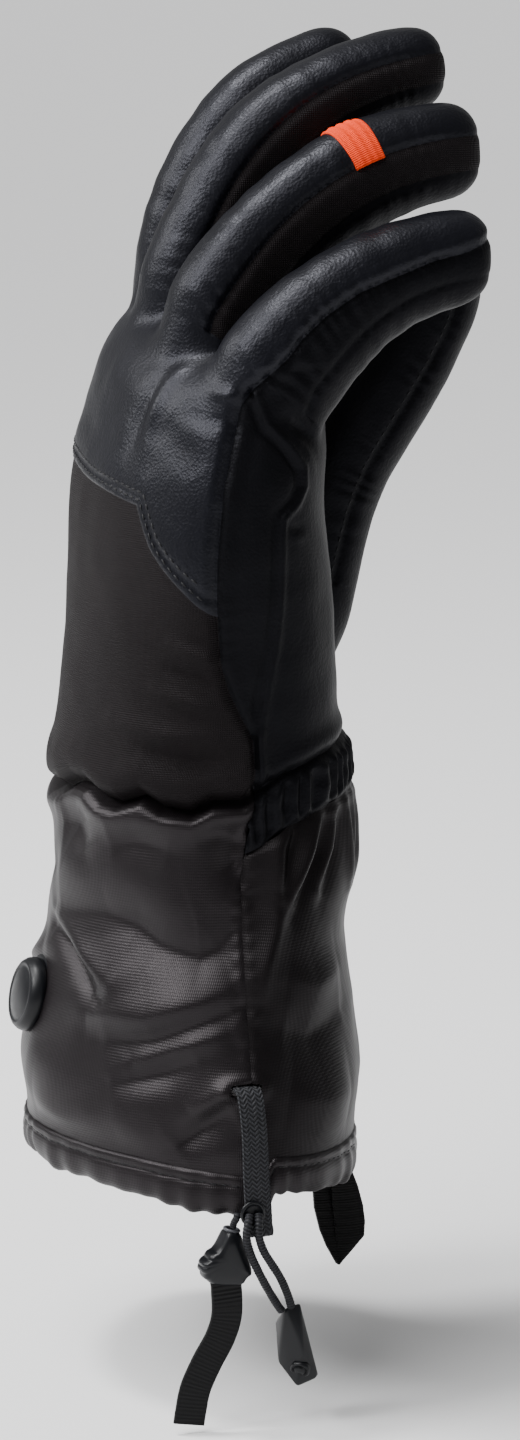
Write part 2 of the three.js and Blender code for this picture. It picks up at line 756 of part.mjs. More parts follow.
add('cuff_front', cuffWall.intersect(seamSide(1, GAP / 2, () => 0)).subtract(stripCut).subtract(slit), shell);
add('wrist_elastic', cuffWall.intersect(stripSpace), elastic);

const hemOuter = toSolid(cuffForm(-HEM_PROUD, CUFF_SIDES, 2, 0, hemShare - GAP / 2 / CUFF_LENGTH, false));
const hemInner = toSolid(cuffForm(CUFF_WALL, CUFF_SIDES, 2, -0.02, hemShare + 0.02, false));
add('cuff_hem', hemOuter.subtract(hemInner), shell);

// The orange elastic across the back of the ring finger
const ring = fingers[1];
const bandHalf = BAND_WIDTH / 2 / ring.length;
const bandSides = fingerSides(FINGERS[1]);
const bandSpace = digitSlab(ring, BACK_SEAM, 2, BAND_PLACE - bandHalf, BAND_PLACE + bandHalf, ...bandSides);
const bandOuter = toSolid(digitForm(ring, -GAP - BAND_THICK, FINGER_SIDES));
const bandInner = toSolid(digitForm(ring, -GAP, FINGER_SIDES));
add('finger_band', bandOuter.subtract(bandInner).intersect(bandSpace), orange);

// The switch on the back of the cuff: a thin round base and a soft dome on it
const buttonHeight = BUTTON_PLACE.height * CUFF_LENGTH;

function cuffBackAt(height) {
  const depth = readTable(CUFF_SECTIONS, 'height', 'depth', height);
  const shift = readTable(CUFF_SECTIONS, 'height', 'shift', height);
  return ((shift - depth) * HEM_DEPTH) / 2;
}

function addRound(name, profile, material) {
  const geometry = new THREE.LatheGeometry(profile.map(([r, h]) => new THREE.Vector2(r, h)), BUTTON_SIDES);
  geometry.rotateX(Math.PI - radians(BUTTON_PLACE.tilt));
  geometry.translate(BUTTON_PLACE.x, cuffBackAt(BUTTON_PLACE.height) - BUTTON_STAND, buttonHeight);
  add(name, toSolid(geometry).subtract(cuffGrown), material);
}

const cuffGrown = toSolid(cuffForm(-GAP, CUFF_SIDES, CUFF_ROWS, hemShare, 1.15, true));
const buttonRadius = BUTTON_DIAMETER / 2;
addRound('button_base', [
  [0, -BUTTON_SINK],
  [buttonRadius + BUTTON_RIM, -BUTTON_SINK],
  [buttonRadius + BUTTON_RIM, 0],
  [buttonRadius, BUTTON_BASE],
  [0, BUTTON_BASE],
], rubber);
const domeStart = BUTTON_BASE + GAP;
addRound('heat_button', [
  [0, domeStart],
  [buttonRadius - 0.4, domeStart],
  [buttonRadius - 0.4, domeStart + BUTTON_HEIGHT * 0.3],
  [buttonRadius * 0.86, domeStart + BUTTON_HEIGHT * 0.66],
  [buttonRadius * 0.55, domeStart + BUTTON_HEIGHT * 0.92],
  [0, domeStart + BUTTON_HEIGHT],
], rubber);

// A flat strap along a path of places, each with the turn of its width about Z
function strapForm(path, width, thick) {
  const places = path.map(([x, y, z]) => new THREE.Vector3(x, y, z));
  const rings = path.map(([, , , turn], step) => {
    const before = places[Math.max(step - 1, 0)];
    const after = places[Math.min(step + 1, places.length - 1)];
    const along = after.clone().sub(before).normalize();
    const across = new THREE.Vector3(Math.cos(radians(turn)), Math.sin(radians(turn)), 0);
    across.addScaledVector(along, -across.dot(along)).normalize().multiplyScalar(width / 2);
    const out = along.clone().cross(across).normalize().multiplyScalar(thick / 2);
    const corner = (side, face) => places[step].clone().addScaledVector(across, side).addScaledVector(out, face);
    return [corner(-1, -1), corner(1, -1), corner(1, 1), corner(-1, 1)];
  });
  return toSolid(loftRings(rings));
}

// The braid: through the slit, down over the hem, folded under and up again against the cuff
const hemSide = HEM_WIDTH / 2 + HEM_PROUD;
const slitSide = (readTable(CUFF_SECTIONS, 'height', 'width', SLIT_HEIGHT) * HEM_WIDTH) / 2;
const innerRun = hemSide + GAP + BRAID_THICK / 2;
const outerRun = innerRun + BRAID_THICK + GAP;
add('elastic_loop', strapForm([
  [slitSide - CUFF_WALL * 1.3, slitMiddle, slitHeight + 0.6, 90],
  [slitSide + BRAID_THICK * 1.7, slitMiddle, slitHeight - 0.5, 90],
  [outerRun - 0.6, slitY - 1.8, slitHeight * 0.72, 90],
  [outerRun, slitY - 1.5, HEM_HEIGHT, 90],
  [outerRun, slitY - 0.8, 2, 90],
  [outerRun - 0.1, slitY - 0.1, -BRAID_DROP * 0.7, 90],
  [(outerRun + innerRun) / 2, slitY, -BRAID_DROP, 90],
  [innerRun + 0.1, slitY + 0.1, -BRAID_DROP * 0.7, 90],
  [innerRun, slitY, 2, 90],
  [innerRun, slitY - 0.6, HEM_HEIGHT, 90],
  [innerRun - 0.5, slitY - 1, slitHeight * 0.6, 90],
], BRAID_WIDTH, BRAID_THICK), elastic);

// The eyelet on the braid's face
const eyeletFace = outerRun + BRAID_THICK / 2 + GAP;
const eyelet = new THREE.LatheGeometry([
  new THREE.Vector2(EYELET_BORE / 2, 0),
  new THREE.Vector2(EYELET_BORE / 2 + EYELET_RIM, 0),
  new THREE.Vector2(EYELET_BORE / 2 + EYELET_RIM, EYELET_RIM * 0.6),
  new THREE.Vector2(EYELET_BORE / 2, EYELET_RIM * 0.6),
  new THREE.Vector2(EYELET_BORE / 2, 0),
], 16);
eyelet.rotateZ(-Math.PI / 2);
eyelet.translate(eyeletFace, EYELET_PLACE.y, EYELET_PLACE.z);
add('eyelet', toSolid(eyelet), plastic);

// A block cut from a flat outline in Y and Z, centred on a place across
function blockForm(outline, middleX, thick) {
  return toSolid(slabAcross(outline, middleX - thick / 2, middleX + thick / 2));
}

const lockOutline = [
  [-13.6, -1.8],
  [-10.1, -2.1],
  [-8.6, -6],
  [-6, -15],
  [-8, -15.9],
  [-9.2, -18.1],
  [-18.4, -17.1],
  [-20.4, -14.3],
  [-21.3, -11.4],
  [-18.4, -8.5],
  [-16.3, -6.7],
  [-14.5, -3.4],
];
add('cord_lock', blockForm(lockOutline, LOCK_X, LOCK_THICK), plastic);

// The pull tab hangs from the lock's lower edge
add('pull_tab', strapForm(TAB_PATH.map(([y, z, turn]) => [LOCK_X, y, z, turn]), TAB_WIDTH, TAB_THICK), elastic);

// A cord along chosen points
function cordForm(route, diameter) {
  const curve = new THREE.CatmullRomCurve3(route.map(([x, y, z]) => new THREE.Vector3(x, y, z)));
  const section = new THREE.Shape().absarc(0, 0, diameter / 2, 0, 2 * Math.PI);
  return new THREE.ExtrudeGeometry(section, { steps: 8, curveSegments: 4, extrudePath: curve });
}

CORD_ROUTES.forEach(({ name, points }) => add(name, toSolid(cordForm(points, CORD_DIAMETER)), elastic));
add('lock_link', toSolid(cordForm(LINK_ROUTE, LINK_DIAMETER)), elastic);

const toggleOutline = [
  [-0.3, -29.6],
  [1.5, -28.6],
  [4.2, -27.5],
  [6.3, -29.1],
  [9.6, -33.9],
  [13.5, -47.6],
  [7.2, -49.8],
  [1.5, -42.1],
];
add('cord_end', blockForm(toggleOutline, TOGGLE_X, TOGGLE_THICK), plastic);

// The hanging loop: a ribbon sewn inside the hem under the palm
add('hanging_loop', strapForm(LOOP_PATH.map(([y, z, turn]) => [LOOP_X, y, z, turn]), RIBBON_WIDTH, RIBBON_THICK), elastic);

export default group;
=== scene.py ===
import math

import bmesh
import bpy
import numpy as np
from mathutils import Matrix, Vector


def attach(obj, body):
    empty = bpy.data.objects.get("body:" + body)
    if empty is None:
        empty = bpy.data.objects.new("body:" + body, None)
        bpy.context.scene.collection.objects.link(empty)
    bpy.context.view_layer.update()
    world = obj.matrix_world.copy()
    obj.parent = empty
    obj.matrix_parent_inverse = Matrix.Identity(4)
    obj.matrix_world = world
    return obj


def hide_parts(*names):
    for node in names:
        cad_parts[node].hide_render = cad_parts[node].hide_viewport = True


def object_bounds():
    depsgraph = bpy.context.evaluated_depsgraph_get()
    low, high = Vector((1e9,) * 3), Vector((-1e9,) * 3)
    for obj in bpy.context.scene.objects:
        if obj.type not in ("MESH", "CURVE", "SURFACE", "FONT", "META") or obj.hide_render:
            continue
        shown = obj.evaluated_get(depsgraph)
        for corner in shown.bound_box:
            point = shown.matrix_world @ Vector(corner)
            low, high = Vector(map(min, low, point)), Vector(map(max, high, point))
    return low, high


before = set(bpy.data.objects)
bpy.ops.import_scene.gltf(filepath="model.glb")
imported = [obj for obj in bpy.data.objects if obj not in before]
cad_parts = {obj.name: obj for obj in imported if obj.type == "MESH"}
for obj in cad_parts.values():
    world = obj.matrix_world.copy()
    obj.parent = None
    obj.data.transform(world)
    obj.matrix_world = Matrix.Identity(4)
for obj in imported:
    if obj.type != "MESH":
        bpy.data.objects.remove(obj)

CAD_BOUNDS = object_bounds()
MM = 0.001

# The solids' own measures, in millimetres
CUFF_LENGTH = 118.0
HEM_HALF_WIDTH = 68.0
HEM_HALF_DEPTH = 44.5
HEM_HEIGHT = 12.0
HAND_LENGTH = 134.0
HAND_HALF_WIDTH = 54.0
HAND_HALF_DEPTH = 40.0
KNUCKLE_DROP = 20.0
FINGER_PITCH = 26.0
FINGER_MIDDLE = -2.0
FINGER_LENGTH = 108.0
FINGER_HALF_DEPTH = 15.5
FINGER_HALF_WIDTH = 12.7
THUMB_LENGTH = 160.0
THUMB_HALF_DEPTH = 18.0
THUMB_HALF_WIDTH = 16.5
THUMB_X = -41.0
STRIP_HEIGHT = 15.0
HAND_WALL = 3.4
# Pieces on the palm side and undersides that take the darker leather: painted shade
PAINTED_SHADE_PIECES = ("palm_panel", "side_gusset", "little_fourchette", "thumb_back")
CUFF_WALL = 1.5
CORD_DIAMETER = 2.3

# The photograph's view
CAMERA_TURN = 70
CAMERA_RISE = 10
CAMERA_DISTANCE = 1.3
CAMERA_TARGET = (0, 21, 129)
CAMERA_LENS = 112.125
CAMERA_SENSOR = 36
CAMERA_NEAR = 0.05

# Lights: place in metres, size, power
AREA_LIGHTS = {
    "key": ((0.1, -1.25, 1.2), 0.5, 15),
    "rim": ((-0.7, -1.0, 0.9), 0.6, 9),
    "top": ((-0.35, -0.55, 1.8), 0.32, 22),
}
LIGHT_TARGET = (0, 0.02, 0.15)
SKY_POWER = 2.9
SKY_ANGLE = 50
SKY_TILT = (30, 4)
WORLD_POWER = 0.34
FLOOR_HALF = 60.0
FLOOR_GAP = 0.002
FLOOR_COLOUR = (0.86, 0.86, 0.865)
FLOOR_ROUGHNESS = 0.9

# Hand sections: height, half width, half depth, shift to the palm, drop on the little-finger side
HAND_ROWS = [
    (-0.15, 0.90, 1.04, 0.10, 0.0),
    (0.00, 0.90, 1.05, 0.08, 0.0),
    (0.11, 0.91, 0.96, 0.05, 0.0),
    (0.24, 0.94, 0.90, 0.05, 0.05),
    (0.42, 0.99, 0.85, 0.05, 0.2),
    (0.63, 1.00, 0.78, 0.05, 0.5),
    (0.80, 0.98, 0.72, 0.12, 0.8),
    (0.90, 0.93, 0.64, 0.17, 0.95),
    (0.96, 0.85, 0.52, 0.22, 1.0),
    (1.00, 0.60, 0.28, 0.26, 1.0),
]

# Cuff sections: height, half width, half depth, shift to the palm, roundness
CUFF_ROWS = [
    (-0.02, 0.985, 1.00, -0.02, 1.7),
    (0.04, 0.995, 1.05, -0.02, 1.7),
    (0.10, 0.985, 1.06, -0.02, 1.7),
    (0.29, 0.95, 1.10, -0.02, 1.7),
    (0.42, 0.90, 1.04, 0.01, 1.75),
    (0.59, 0.82, 0.95, 0.02, 1.85),
    (0.76, 0.75, 1.00, 0.06, 1.9),
    (0.89, 0.71, 0.955, 0.09, 2.0),
    (1.00, 0.705, 0.93, 0.08, 2.1),
    (1.20, 0.715, 0.88, 0.03, 2.2),
]
HEM_LIFT = [
    (-180, 0), (-90, 0.4), (-45, 0.3), (-12, 0), (-4, 0), (4, 0.6),
    (16, 0.45), (36, 0.22), (70, -0.1), (180, 0),
]
LIFT_REACH = 0.35
CUFF_SEAM = [(0, -0.12), (0.2, -0.11), (0.55, -0.09), (0.8, -0.05), (1, 0.07), (1.3, 0.09)]

# Fingers: across in pitches, palm, height, lean at root and tip, length, depth at root and tip, start
FINGERS = {
    "little": (1.5, 0.15, 0.851, 39, 88, 0.685, 1.2, 0.8, -0.06),
    "ring": (0.5, 0.06, 0.963, 33, 88, 0.88, 1.1, 0.87, -0.07),
    "middle": (-0.5, 0.06, 1.0, 18, 85, 1.0, 1.0, 0.77, -0.06),
    "index": (-1.5, 0.15, 0.896, -3, 75, 0.97, 1.0, 0.84, 0.05),
}
FINGER_BEND = [(0, 0), (0.25, 0.16), (0.5, 0.45), (0.75, 0.78), (1, 1)]
THUMB_BEND = [(0, 50), (0.2, 24), (0.45, 16), (0.66, 35), (0.82, 32), (1, 6)]
THUMB_START = 0.34
BACK_SEAM = 0.32
FRONT_SEAM = -0.4
THUMB_SEAM = -0.3
HAND_SEAMS = ("edge", "gusset", "yoke", "wrist")
THUMB_REGION = 5
FAR_OUT = 200
VOXEL = 1.0
SKIN_ROUNDS = 4
ROOT_ROUNDS = 60
THUMB_CLEAR = 1.06
FINGER_REACH = 17
BACK_REACH = 30
TIP_WIDTH = 0.86
ROOT_REACH = 24.0
PAD_ROUND = 2.3

# Seams seen from the little finger's side, as places towards the palm and up, from tip to wrist
EDGE_SEAM = [
    (76, 271), (70, 268), (64, 266), (55, 264), (44, 260), (33, 256), (23, 250),
    (16, 244), (11, 238), (5, 233), (1.5, 230), (-1.5, 226), (-3.2, 220), (-5.5, 213),
    (-8, 203), (-9, 194), (-10, 183), (-10, 172), (-9.4, 163), (-8, 153), (-5.6, 146),
    (-2, 139), (2, 132), (3, 110),
]
GUSSET_SEAM = [
    (2, 228), (5, 220), (11, 214), (15.5, 208), (15.8, 203), (13.5, 199), (8.6, 195),
    (8, 189), (8, 177), (7, 161), (5, 149), (3.4, 136), (3, 132), (4, 110),
]

# The yoke's lower edge on the back of the hand, across and up
YOKE_SEAM = [
    (-80, 206), (-40, 206), (-23, 204), (-4, 201), (14, 199), (28, 197),
    (35, 186), (45, 175), (50, 168), (62, 152),
]


def read(rows, column, at):
    """A table's column at any place, on a smooth curve through its rows"""
    keys = np.array([row[0] for row in rows], float)
    values = np.array([row[column] for row in rows], float)
    slopes = np.gradient(values, keys)
    at = np.clip(np.asarray(at, float), keys[0], keys[-1])
    index = np.clip(np.searchsorted(keys, at, side="right") - 1, 0, len(keys) - 2)
    span = keys[index + 1] - keys[index]
    t = (at - keys[index]) / span
    low, high = values[index], values[index + 1]
    rise = t * t * (3 - 2 * t)
    bend = span * (slopes[index] * t * (1 - t) ** 2 - slopes[index + 1] * t * t * (1 - t))
    return low + (high - low) * rise + bend


def lerp_table(rows, at):
    """A two-column table read straight between its rows"""
    return np.interp(at, [row[0] for row in rows], [row[1] for row in rows])


def power_ring(turn, half_a, half_b, power):
    """Points of a rounded box section: power 2 is an ellipse"""
    c, s = np.cos(turn), np.sin(turn)
    a = np.sign(c) * np.abs(c) ** (2 / power) * half_a
    b = np.sign(s) * np.abs(s) ** (2 / power) * half_b
    return a, b


def bell(distance, width):
    """1 at no distance, falling smoothly to 0 past the width"""
    return np.exp(-((distance / width) ** 2))


def crest(distance, width):
    """Like a bell, with a sharper top"""
    soft = np.sqrt(distance ** 2 + 0.5) - math.sqrt(0.5)
    return np.exp(-((soft / width) ** 1.25))


def step_up(value, low, high):
    """0 below low, 1 above high, with a smooth rise between"""
    t = np.clip((value - low) / (high - low), 0, 1)
    return t * t * (3 - 2 * t)


def grid_faces(rows, columns, closed):
    """Quads over a grid of points, closed round or open"""
    r = np.arange(rows - 1)[:, None]
    c = np.arange(columns if closed else columns - 1)[None, :]
    d = (c + 1) % columns
    quads = np.stack([r * columns + c, r * columns + d, (r + 1) * columns + d, (r + 1) * columns + c], -1)
    return quads.reshape(-1, 4)


def wave_noise(points, scale, count=24, seed=1):
    """Smooth noise over points: many waves in random directions, about -1 to 1"""
    local = np.random.default_rng(seed)
    directions = local.normal(size=(count, points.shape[1]))
    directions /= np.linalg.norm(directions, axis=1, keepdims=True)
    lengths = scale * local.uniform(0.7, 1.6, count)
    phases = local.uniform(0, 2 * np.pi, count)
    total = np.zeros(len(points))
    for k in range(count):
        total += np.sin(points @ directions[k] * (2 * np.pi / lengths[k]) + phases[k])
    return total * math.sqrt(2 / count)


def stroke_distance(points, line):
    """Distance of points to a line of places, and how far along it the nearest place lies"""
    line = np.asarray(line, float)
    best = np.full(len(points), 1e9)
    along = np.zeros(len(points))
    start = 0.0
    for a, b in zip(line[:-1], line[1:]):
        span = b - a
        length = np.linalg.norm(span)
        t = np.clip(((points - a) @ span) / length ** 2, 0, 1)
        gap = np.linalg.norm(points - a - t[:, None] * span, axis=1)
        near = gap < best
        best[near] = gap[near]
        along[near] = start + t[near] * length
        start += length
    return best, along


def signed_line(u, v, line):
    """Signed distance to a line in a plane: positive on its left, with the place along it"""
    points = np.stack([u, v], -1)
    line = np.asarray(line, float)
    best = np.full(len(points), 1e9)
    signed = np.zeros(len(points))
    along = np.zeros(len(points))
    start = 0.0
    for a, b in zip(line[:-1], line[1:]):
        span = b - a
        length = np.linalg.norm(span)
        t = np.clip(((points - a) @ span) / length ** 2, 0, 1)
        offset = points - a - t[:, None] * span
        gap = np.linalg.norm(offset, axis=1)
        side = span[0] * (points[:, 1] - a[1]) - span[1] * (points[:, 0] - a[0])
        near = gap < best - 1e-9
        best[near] = gap[near]
        signed[near] = np.sign(side[near]) * gap[near]
        along[near] = start + t[near] * length
        start += length
    return signed, along


# Camera, floor and light
def make_camera():
    """The camera at the photograph's angle"""
    turn, rise = math.radians(CAMERA_TURN), math.radians(CAMERA_RISE)
    back = Vector((math.sin(turn) * math.cos(rise), -math.cos(turn) * math.cos(rise), math.sin(rise)))
    data = bpy.data.cameras.new("camera")
    data.sensor_fit = "VERTICAL"
    data.sensor_height = CAMERA_SENSOR
    data.lens = CAMERA_LENS
    data.clip_start = CAMERA_NEAR
    camera = bpy.data.objects.new("camera", data)
    camera.location = Vector(CAMERA_TARGET) * MM + back * CAMERA_DISTANCE
    camera.rotation_euler = (-back).to_track_quat("-Z", "Y").to_euler()
    bpy.context.scene.collection.objects.link(camera)
    bpy.context.scene.camera = camera


def make_area(name, place, size, power):
    """A round soft light that looks at the glove"""
    data = bpy.data.lights.new(name, "AREA")
    data.shape = "DISK"
    data.size = size
    data.energy = power
    light = bpy.data.objects.new(name, data)
    light.location = place
    aim = Vector(LIGHT_TARGET) - Vector(place)
    light.rotation_euler = aim.to_track_quat("-Z", "Y").to_euler()
    bpy.context.scene.collection.objects.link(light)


def make_floor():
    """A wide pale floor just below the lowest point"""
    half = FLOOR_HALF
    level = CAD_BOUNDS[0][2] - FLOOR_GAP
    corners = [(-half, -half, level), (half, -half, level), (half, half, level), (-half, half, level)]
    mesh = bpy.data.meshes.new("floor")
    mesh.from_pydata(corners, [], [(0, 1, 2, 3)])
    floor = bpy.data.objects.new("floor", mesh)
    bpy.context.scene.collection.objects.link(floor)
    material = bpy.data.materials.new("floor")
    material.use_nodes = True
    shader = material.node_tree.nodes["Principled BSDF"]
    shader.inputs["Base Color"].default_value = (*FLOOR_COLOUR, 1)
    shader.inputs["Roughness"].default_value = FLOOR_ROUGHNESS
    mesh.materials.append(material)


def make_stage():
    """Floor, sky and lights"""
    make_floor()
    world = bpy.data.worlds.new("studio")
    world.use_nodes = True
    background = world.node_tree.nodes["Background"]
    background.inputs["Color"].default_value = (1, 1, 1, 1)
    background.inputs["Strength"].default_value = WORLD_POWER
    bpy.context.scene.world = world
    for name, (place, size, power) in AREA_LIGHTS.items():
        make_area(name, place, size, power)
    data = bpy.data.lights.new("sky", "SUN")
    data.energy = SKY_POWER
    data.angle = math.radians(SKY_ANGLE)
    sky = bpy.data.objects.new("sky", data)
    sky.rotation_euler = (math.radians(SKY_TILT[0]), math.radians(SKY_TILT[1]), 0)
    bpy.context.scene.collection.objects.link(sky)


# Materials: colours, roughness from 0 to 1, and lengths in metres
# Leathers: name, dark, light, roughness from and to, specular level
LEATHERS = {
    "leather": ("leather", (0.0015, 0.0016, 0.0026), (0.0034, 0.0036, 0.0056), 0.33, 0.45, 0.19),
    # The second leather is a darker, less glossy copy of the first for pieces on the palm side and
    # undersides: painted shade
    "side_leather": ("side_leather", (0.0014, 0.0014, 0.0017), (0.0028, 0.0027, 0.0033), 0.42, 0.56, 0.08),
}

# Cloths: name, dark, light, roughness, thread spacing, thread depth, strength, specular level
CLOTHS = {
    "fabric": (
        "stretch_fabric", (0.0034, 0.0027, 0.0029), (0.0064, 0.0051, 0.0055),
        0.6, 0.0006, 0.00014, 0.7, 0.1,
    ),
    "shell": (
        "cuff_shell", (0.0020, 0.0015, 0.0018), (0.0046, 0.0034, 0.0041),
        0.42, 0.0008, 0.00005, 0.5, 0.24,
    ),
    # A darker, less glossy copy of the cuff shell for the palm side's panel: painted shade
    "shell_painted_shade": (
        "cuff_side_shell", (0.0015, 0.0012, 0.0013), (0.0034, 0.0026, 0.0030),
        0.46, 0.0008, 0.00005, 0.5, 0.14,
    ),
}

# Straps: name, dark, light, roughness, rib spacing, rib depth, share of zigzag
STRAPS = {
    "braid": ("braid", (0.005, 0.005, 0.006), (0.030, 0.031, 0.035), 0.6, 0.0013, 0.0003, 1.0),
    "webbing": ("webbing", (0.0025, 0.0025, 0.0028), (0.0055, 0.0055, 0.006), 0.6, 0.0011, 0.00006, 0.0),
    "grosgrain": ("grosgrain", (0.0018, 0.0018, 0.0018), (0.007, 0.0066, 0.007), 0.55, 0.0008, 0.0003, 0.0),
    "orange": ("orange_elastic", (0.70, 0.028, 0.002), (1.0, 0.07, 0.006), 0.75, 0.0006, 0.0003, 0.0),
    "cord": ("cord", (0.006, 0.0062, 0.0075), (0.020, 0.0205, 0.024), 0.5, 0.0009, 0.0003, 0.0),
}

# Plastics and thread: name, colour, roughness
PLASTICS = {
    "plastic": ("satin_plastic", (0.0026, 0.0029, 0.0040), 0.34),
    "rubber": ("soft_rubber", (0.0018, 0.0021, 0.0032), 0.38),
    # The lock's rim is a much lighter plastic than the lock itself: a painted glint on its edge
    "rim": ("rim_plastic", (0.045, 0.046, 0.052), 0.3),
    "thread": ("sewing_thread", (0.0042, 0.0042, 0.0052), 0.55),
}
LEATHER_TINT = (0.86, 0.87, 1, 1)
CLOTH_TINT = (1, 0.92, 0.965, 1)
STRAP_LEVEL = 0.16
PLASTIC_LEVEL = 0.24
ZIGZAG_WIDTH = 0.00125


class Nodes:
    """Short calls for building a material's nodes"""

    def __init__(self, name):
        self.material = bpy.data.materials.new(name)
        self.material.use_nodes = True
        self.tree = self.material.node_tree
        self.shader = self.tree.nodes["Principled BSDF"]

    def node(self, kind, **values):
        node = self.tree.nodes.new(kind)
        for key, value in values.items():
            setattr(node, key, value)
        return node

    def link(self, source, target):
        self.tree.links.new(source, target)

    def set(self, node, **values):
        for key, value in values.items():
            node.inputs[key.replace("_", " ")].default_value = value
        return node

    def object_space(self, scale=(1, 1, 1)):
        place = self.node("ShaderNodeTexCoord")
        mapping = self.node("ShaderNodeMapping")
        mapping.inputs["Scale"].default_value = scale
        self.link(place.outputs["Object"], mapping.inputs["Vector"])
        return mapping.outputs["Vector"]

    def attribute(self, name):
        return self.node("ShaderNodeAttribute", attribute_name=name).outputs["Fac"]

    def noise(self, vector, scale, detail=2.0, rough=0.5):
        node = self.node("ShaderNodeTexNoise")
        self.set(node, Scale=scale, Detail=detail, Roughness=rough)
        self.link(vector, node.inputs["Vector"])
        return node.outputs["Fac"]

    def voronoi(self, vector, scale):
        node = self.node("ShaderNodeTexVoronoi", feature="F1")
        self.set(node, Scale=scale)
        self.link(vector, node.inputs["Vector"])
        return node.outputs["Distance"]

    def math(self, operation, first, second=None, third=None):
        node = self.node("ShaderNodeMath", operation=operation)
        for slot, value in enumerate((first, second, third)):
            if value is None:
                continue
            if isinstance(value, (int, float)):
                node.inputs[slot].default_value = value
            else:
                self.link(value, node.inputs[slot])
        return node.outputs[0]

    def ramp(self, value, low, high, colour_low, colour_high):
        node = self.node("ShaderNodeValToRGB")
        first, second = node.color_ramp.elements
        first.position, second.position = low, high
        first.color, second.color = (*colour_low, 1), (*colour_high, 1)
        self.link(value, node.inputs["Fac"])
        return node.outputs["Color"]

    def scaled(self, value, low, high):
        """A 0 to 1 value turned into low to high"""
        node = self.node("ShaderNodeMapRange")
        node.inputs["To Min"].default_value = low
        node.inputs["To Max"].default_value = high
        self.link(value, node.inputs["Value"])
        return node.outputs["Result"]

    def bump(self, height, distance, strength=1.0, normal=None):
        node = self.node("ShaderNodeBump")
        self.set(node, Strength=strength, Distance=distance)
        self.link(height, node.inputs["Height"])
        if normal is not None:
            self.link(normal, node.inputs["Normal"])
        return node.outputs["Normal"]


def leather_material(name, dark, light, rough_low, rough_high, level):
    """Grained leather: fine pebbling, creases that run across, and soft changes of gloss"""
    n = Nodes(name)
    space = n.object_space()
    tone = n.noise(space, 24, 3)
    colour = n.ramp(tone, 0.3, 0.75, dark, light)
    n.link(colour, n.shader.inputs["Base Color"])
    n.link(n.scaled(n.noise(space, 60, 3), rough_low, rough_high), n.shader.inputs["Roughness"])
    n.set(n.shader, Specular_IOR_Level=level, Specular_Tint=LEATHER_TINT)
    grain = n.voronoi(space, 1150)
    pores = n.noise(space, 2400, 2)
    creases = n.noise(n.object_space((1, 0.35, 0.35)), 700, 3, 0.6)
    first = n.bump(grain, 0.00013, 0.6)
    second = n.bump(creases, 0.00032, 0.5, first)
    third = n.bump(pores, 0.00006, 0.5, second)
    n.link(third, n.shader.inputs["Normal"])
    return n.material


def weave_material(name, dark, light, rough, thread, depth, strength, level):
    """Woven cloth: two crossing sets of threads, with slight slubs"""
    n = Nodes(name)
    space = n.object_space()
    tone = n.noise(space, 30, 3)
    fine = n.noise(n.object_space((1, 1, 5)), 420, 2)
    mixed = n.math("ADD", n.math("MULTIPLY", tone, 0.6), n.math("MULTIPLY", fine, 0.4))
    n.link(n.ramp(mixed, 0.32, 0.7, dark, light), n.shader.inputs["Base Color"])
    n.set(n.shader, Roughness=rough, Specular_IOR_Level=level, Specular_Tint=CLOTH_TINT)
    split = n.node("ShaderNodeSeparateXYZ")
    n.link(space, split.inputs["Vector"])
    warp = n.math("SINE", n.math("MULTIPLY", split.outputs["Z"], 2 * math.pi / thread))
    round_way = n.math("ADD", split.outputs["X"], split.outputs["Y"])
    weft = n.math("SINE", n.math("MULTIPLY", round_way, 2 * math.pi / thread))
    cloth = n.math("ADD", n.math("MULTIPLY", warp, 0.5), n.math("MULTIPLY", weft, 0.5))
    first = n.bump(cloth, depth, strength)
    second = n.bump(n.noise(space, 260, 4, 0.6), 0.0003, 0.2, first)
    n.link(second, n.shader.inputs["Normal"])
    return n.material


def plastic_material(name, colour, roughness):
    """Moulded plastic or thread: slight clouds of tone and gloss, and a fine grain"""
    n = Nodes(name)
    space = n.object_space()
    tone = n.noise(space, 90, 3)
    light = tuple(value * 1.35 for value in colour)
    n.link(n.ramp(tone, 0.3, 0.75, colour, light), n.shader.inputs["Base Color"])
    gloss = n.scaled(n.noise(space, 300, 3), roughness - 0.06, roughness + 0.08)
    n.link(gloss, n.shader.inputs["Roughness"])
    n.link(n.bump(n.noise(space, 3000, 2), 0.00004, 0.4), n.shader.inputs["Normal"])
    n.set(n.shader, Specular_IOR_Level=PLASTIC_LEVEL)
    return n.material


def strap_material(name, dark, light, rough, spacing, depth, zigzag):
    """Woven strap: ribs across it at an even step, read from the strap's own length and width"""
    n = Nodes(name)
    along = n.attribute("along")
    across = n.attribute("across")
    space = n.object_space()
    lean = n.math("MULTIPLY", n.math("PINGPONG", across, ZIGZAG_WIDTH), zigzag)
    wave = n.math("SINE", n.math("MULTIPLY", n.math("ADD", along, lean), 2 * math.pi / spacing))
    body = n.scaled(n.math("ADD", n.math("MULTIPLY", wave, 0.5), 0.5), 0, 1)
    # The colour follows the ribs, lighter on their crests and darker in their valleys: painted shade in the
    # valleys
    tone = n.math("ADD", n.math("MULTIPLY", body, 0.6), n.math("MULTIPLY", n.noise(space, 500, 3), 0.4))
    n.link(n.ramp(tone, 0.2, 0.8, dark, light), n.shader.inputs["Base Color"])
    n.set(n.shader, Roughness=rough, Specular_IOR_Level=STRAP_LEVEL)
    first = n.bump(body, depth, 0.8)
    n.link(n.bump(n.noise(space, 1800, 3), 0.0001, 0.5, first), n.shader.inputs["Normal"])
    return n.material


def make_materials():
    """Every material by its short name"""
    makers = (
        (leather_material, LEATHERS),
        (weave_material, CLOTHS),
        (strap_material, STRAPS),
        (plastic_material, PLASTICS),
    )
    return {key: make(*row) for make, rows in makers for key, row in rows.items()}


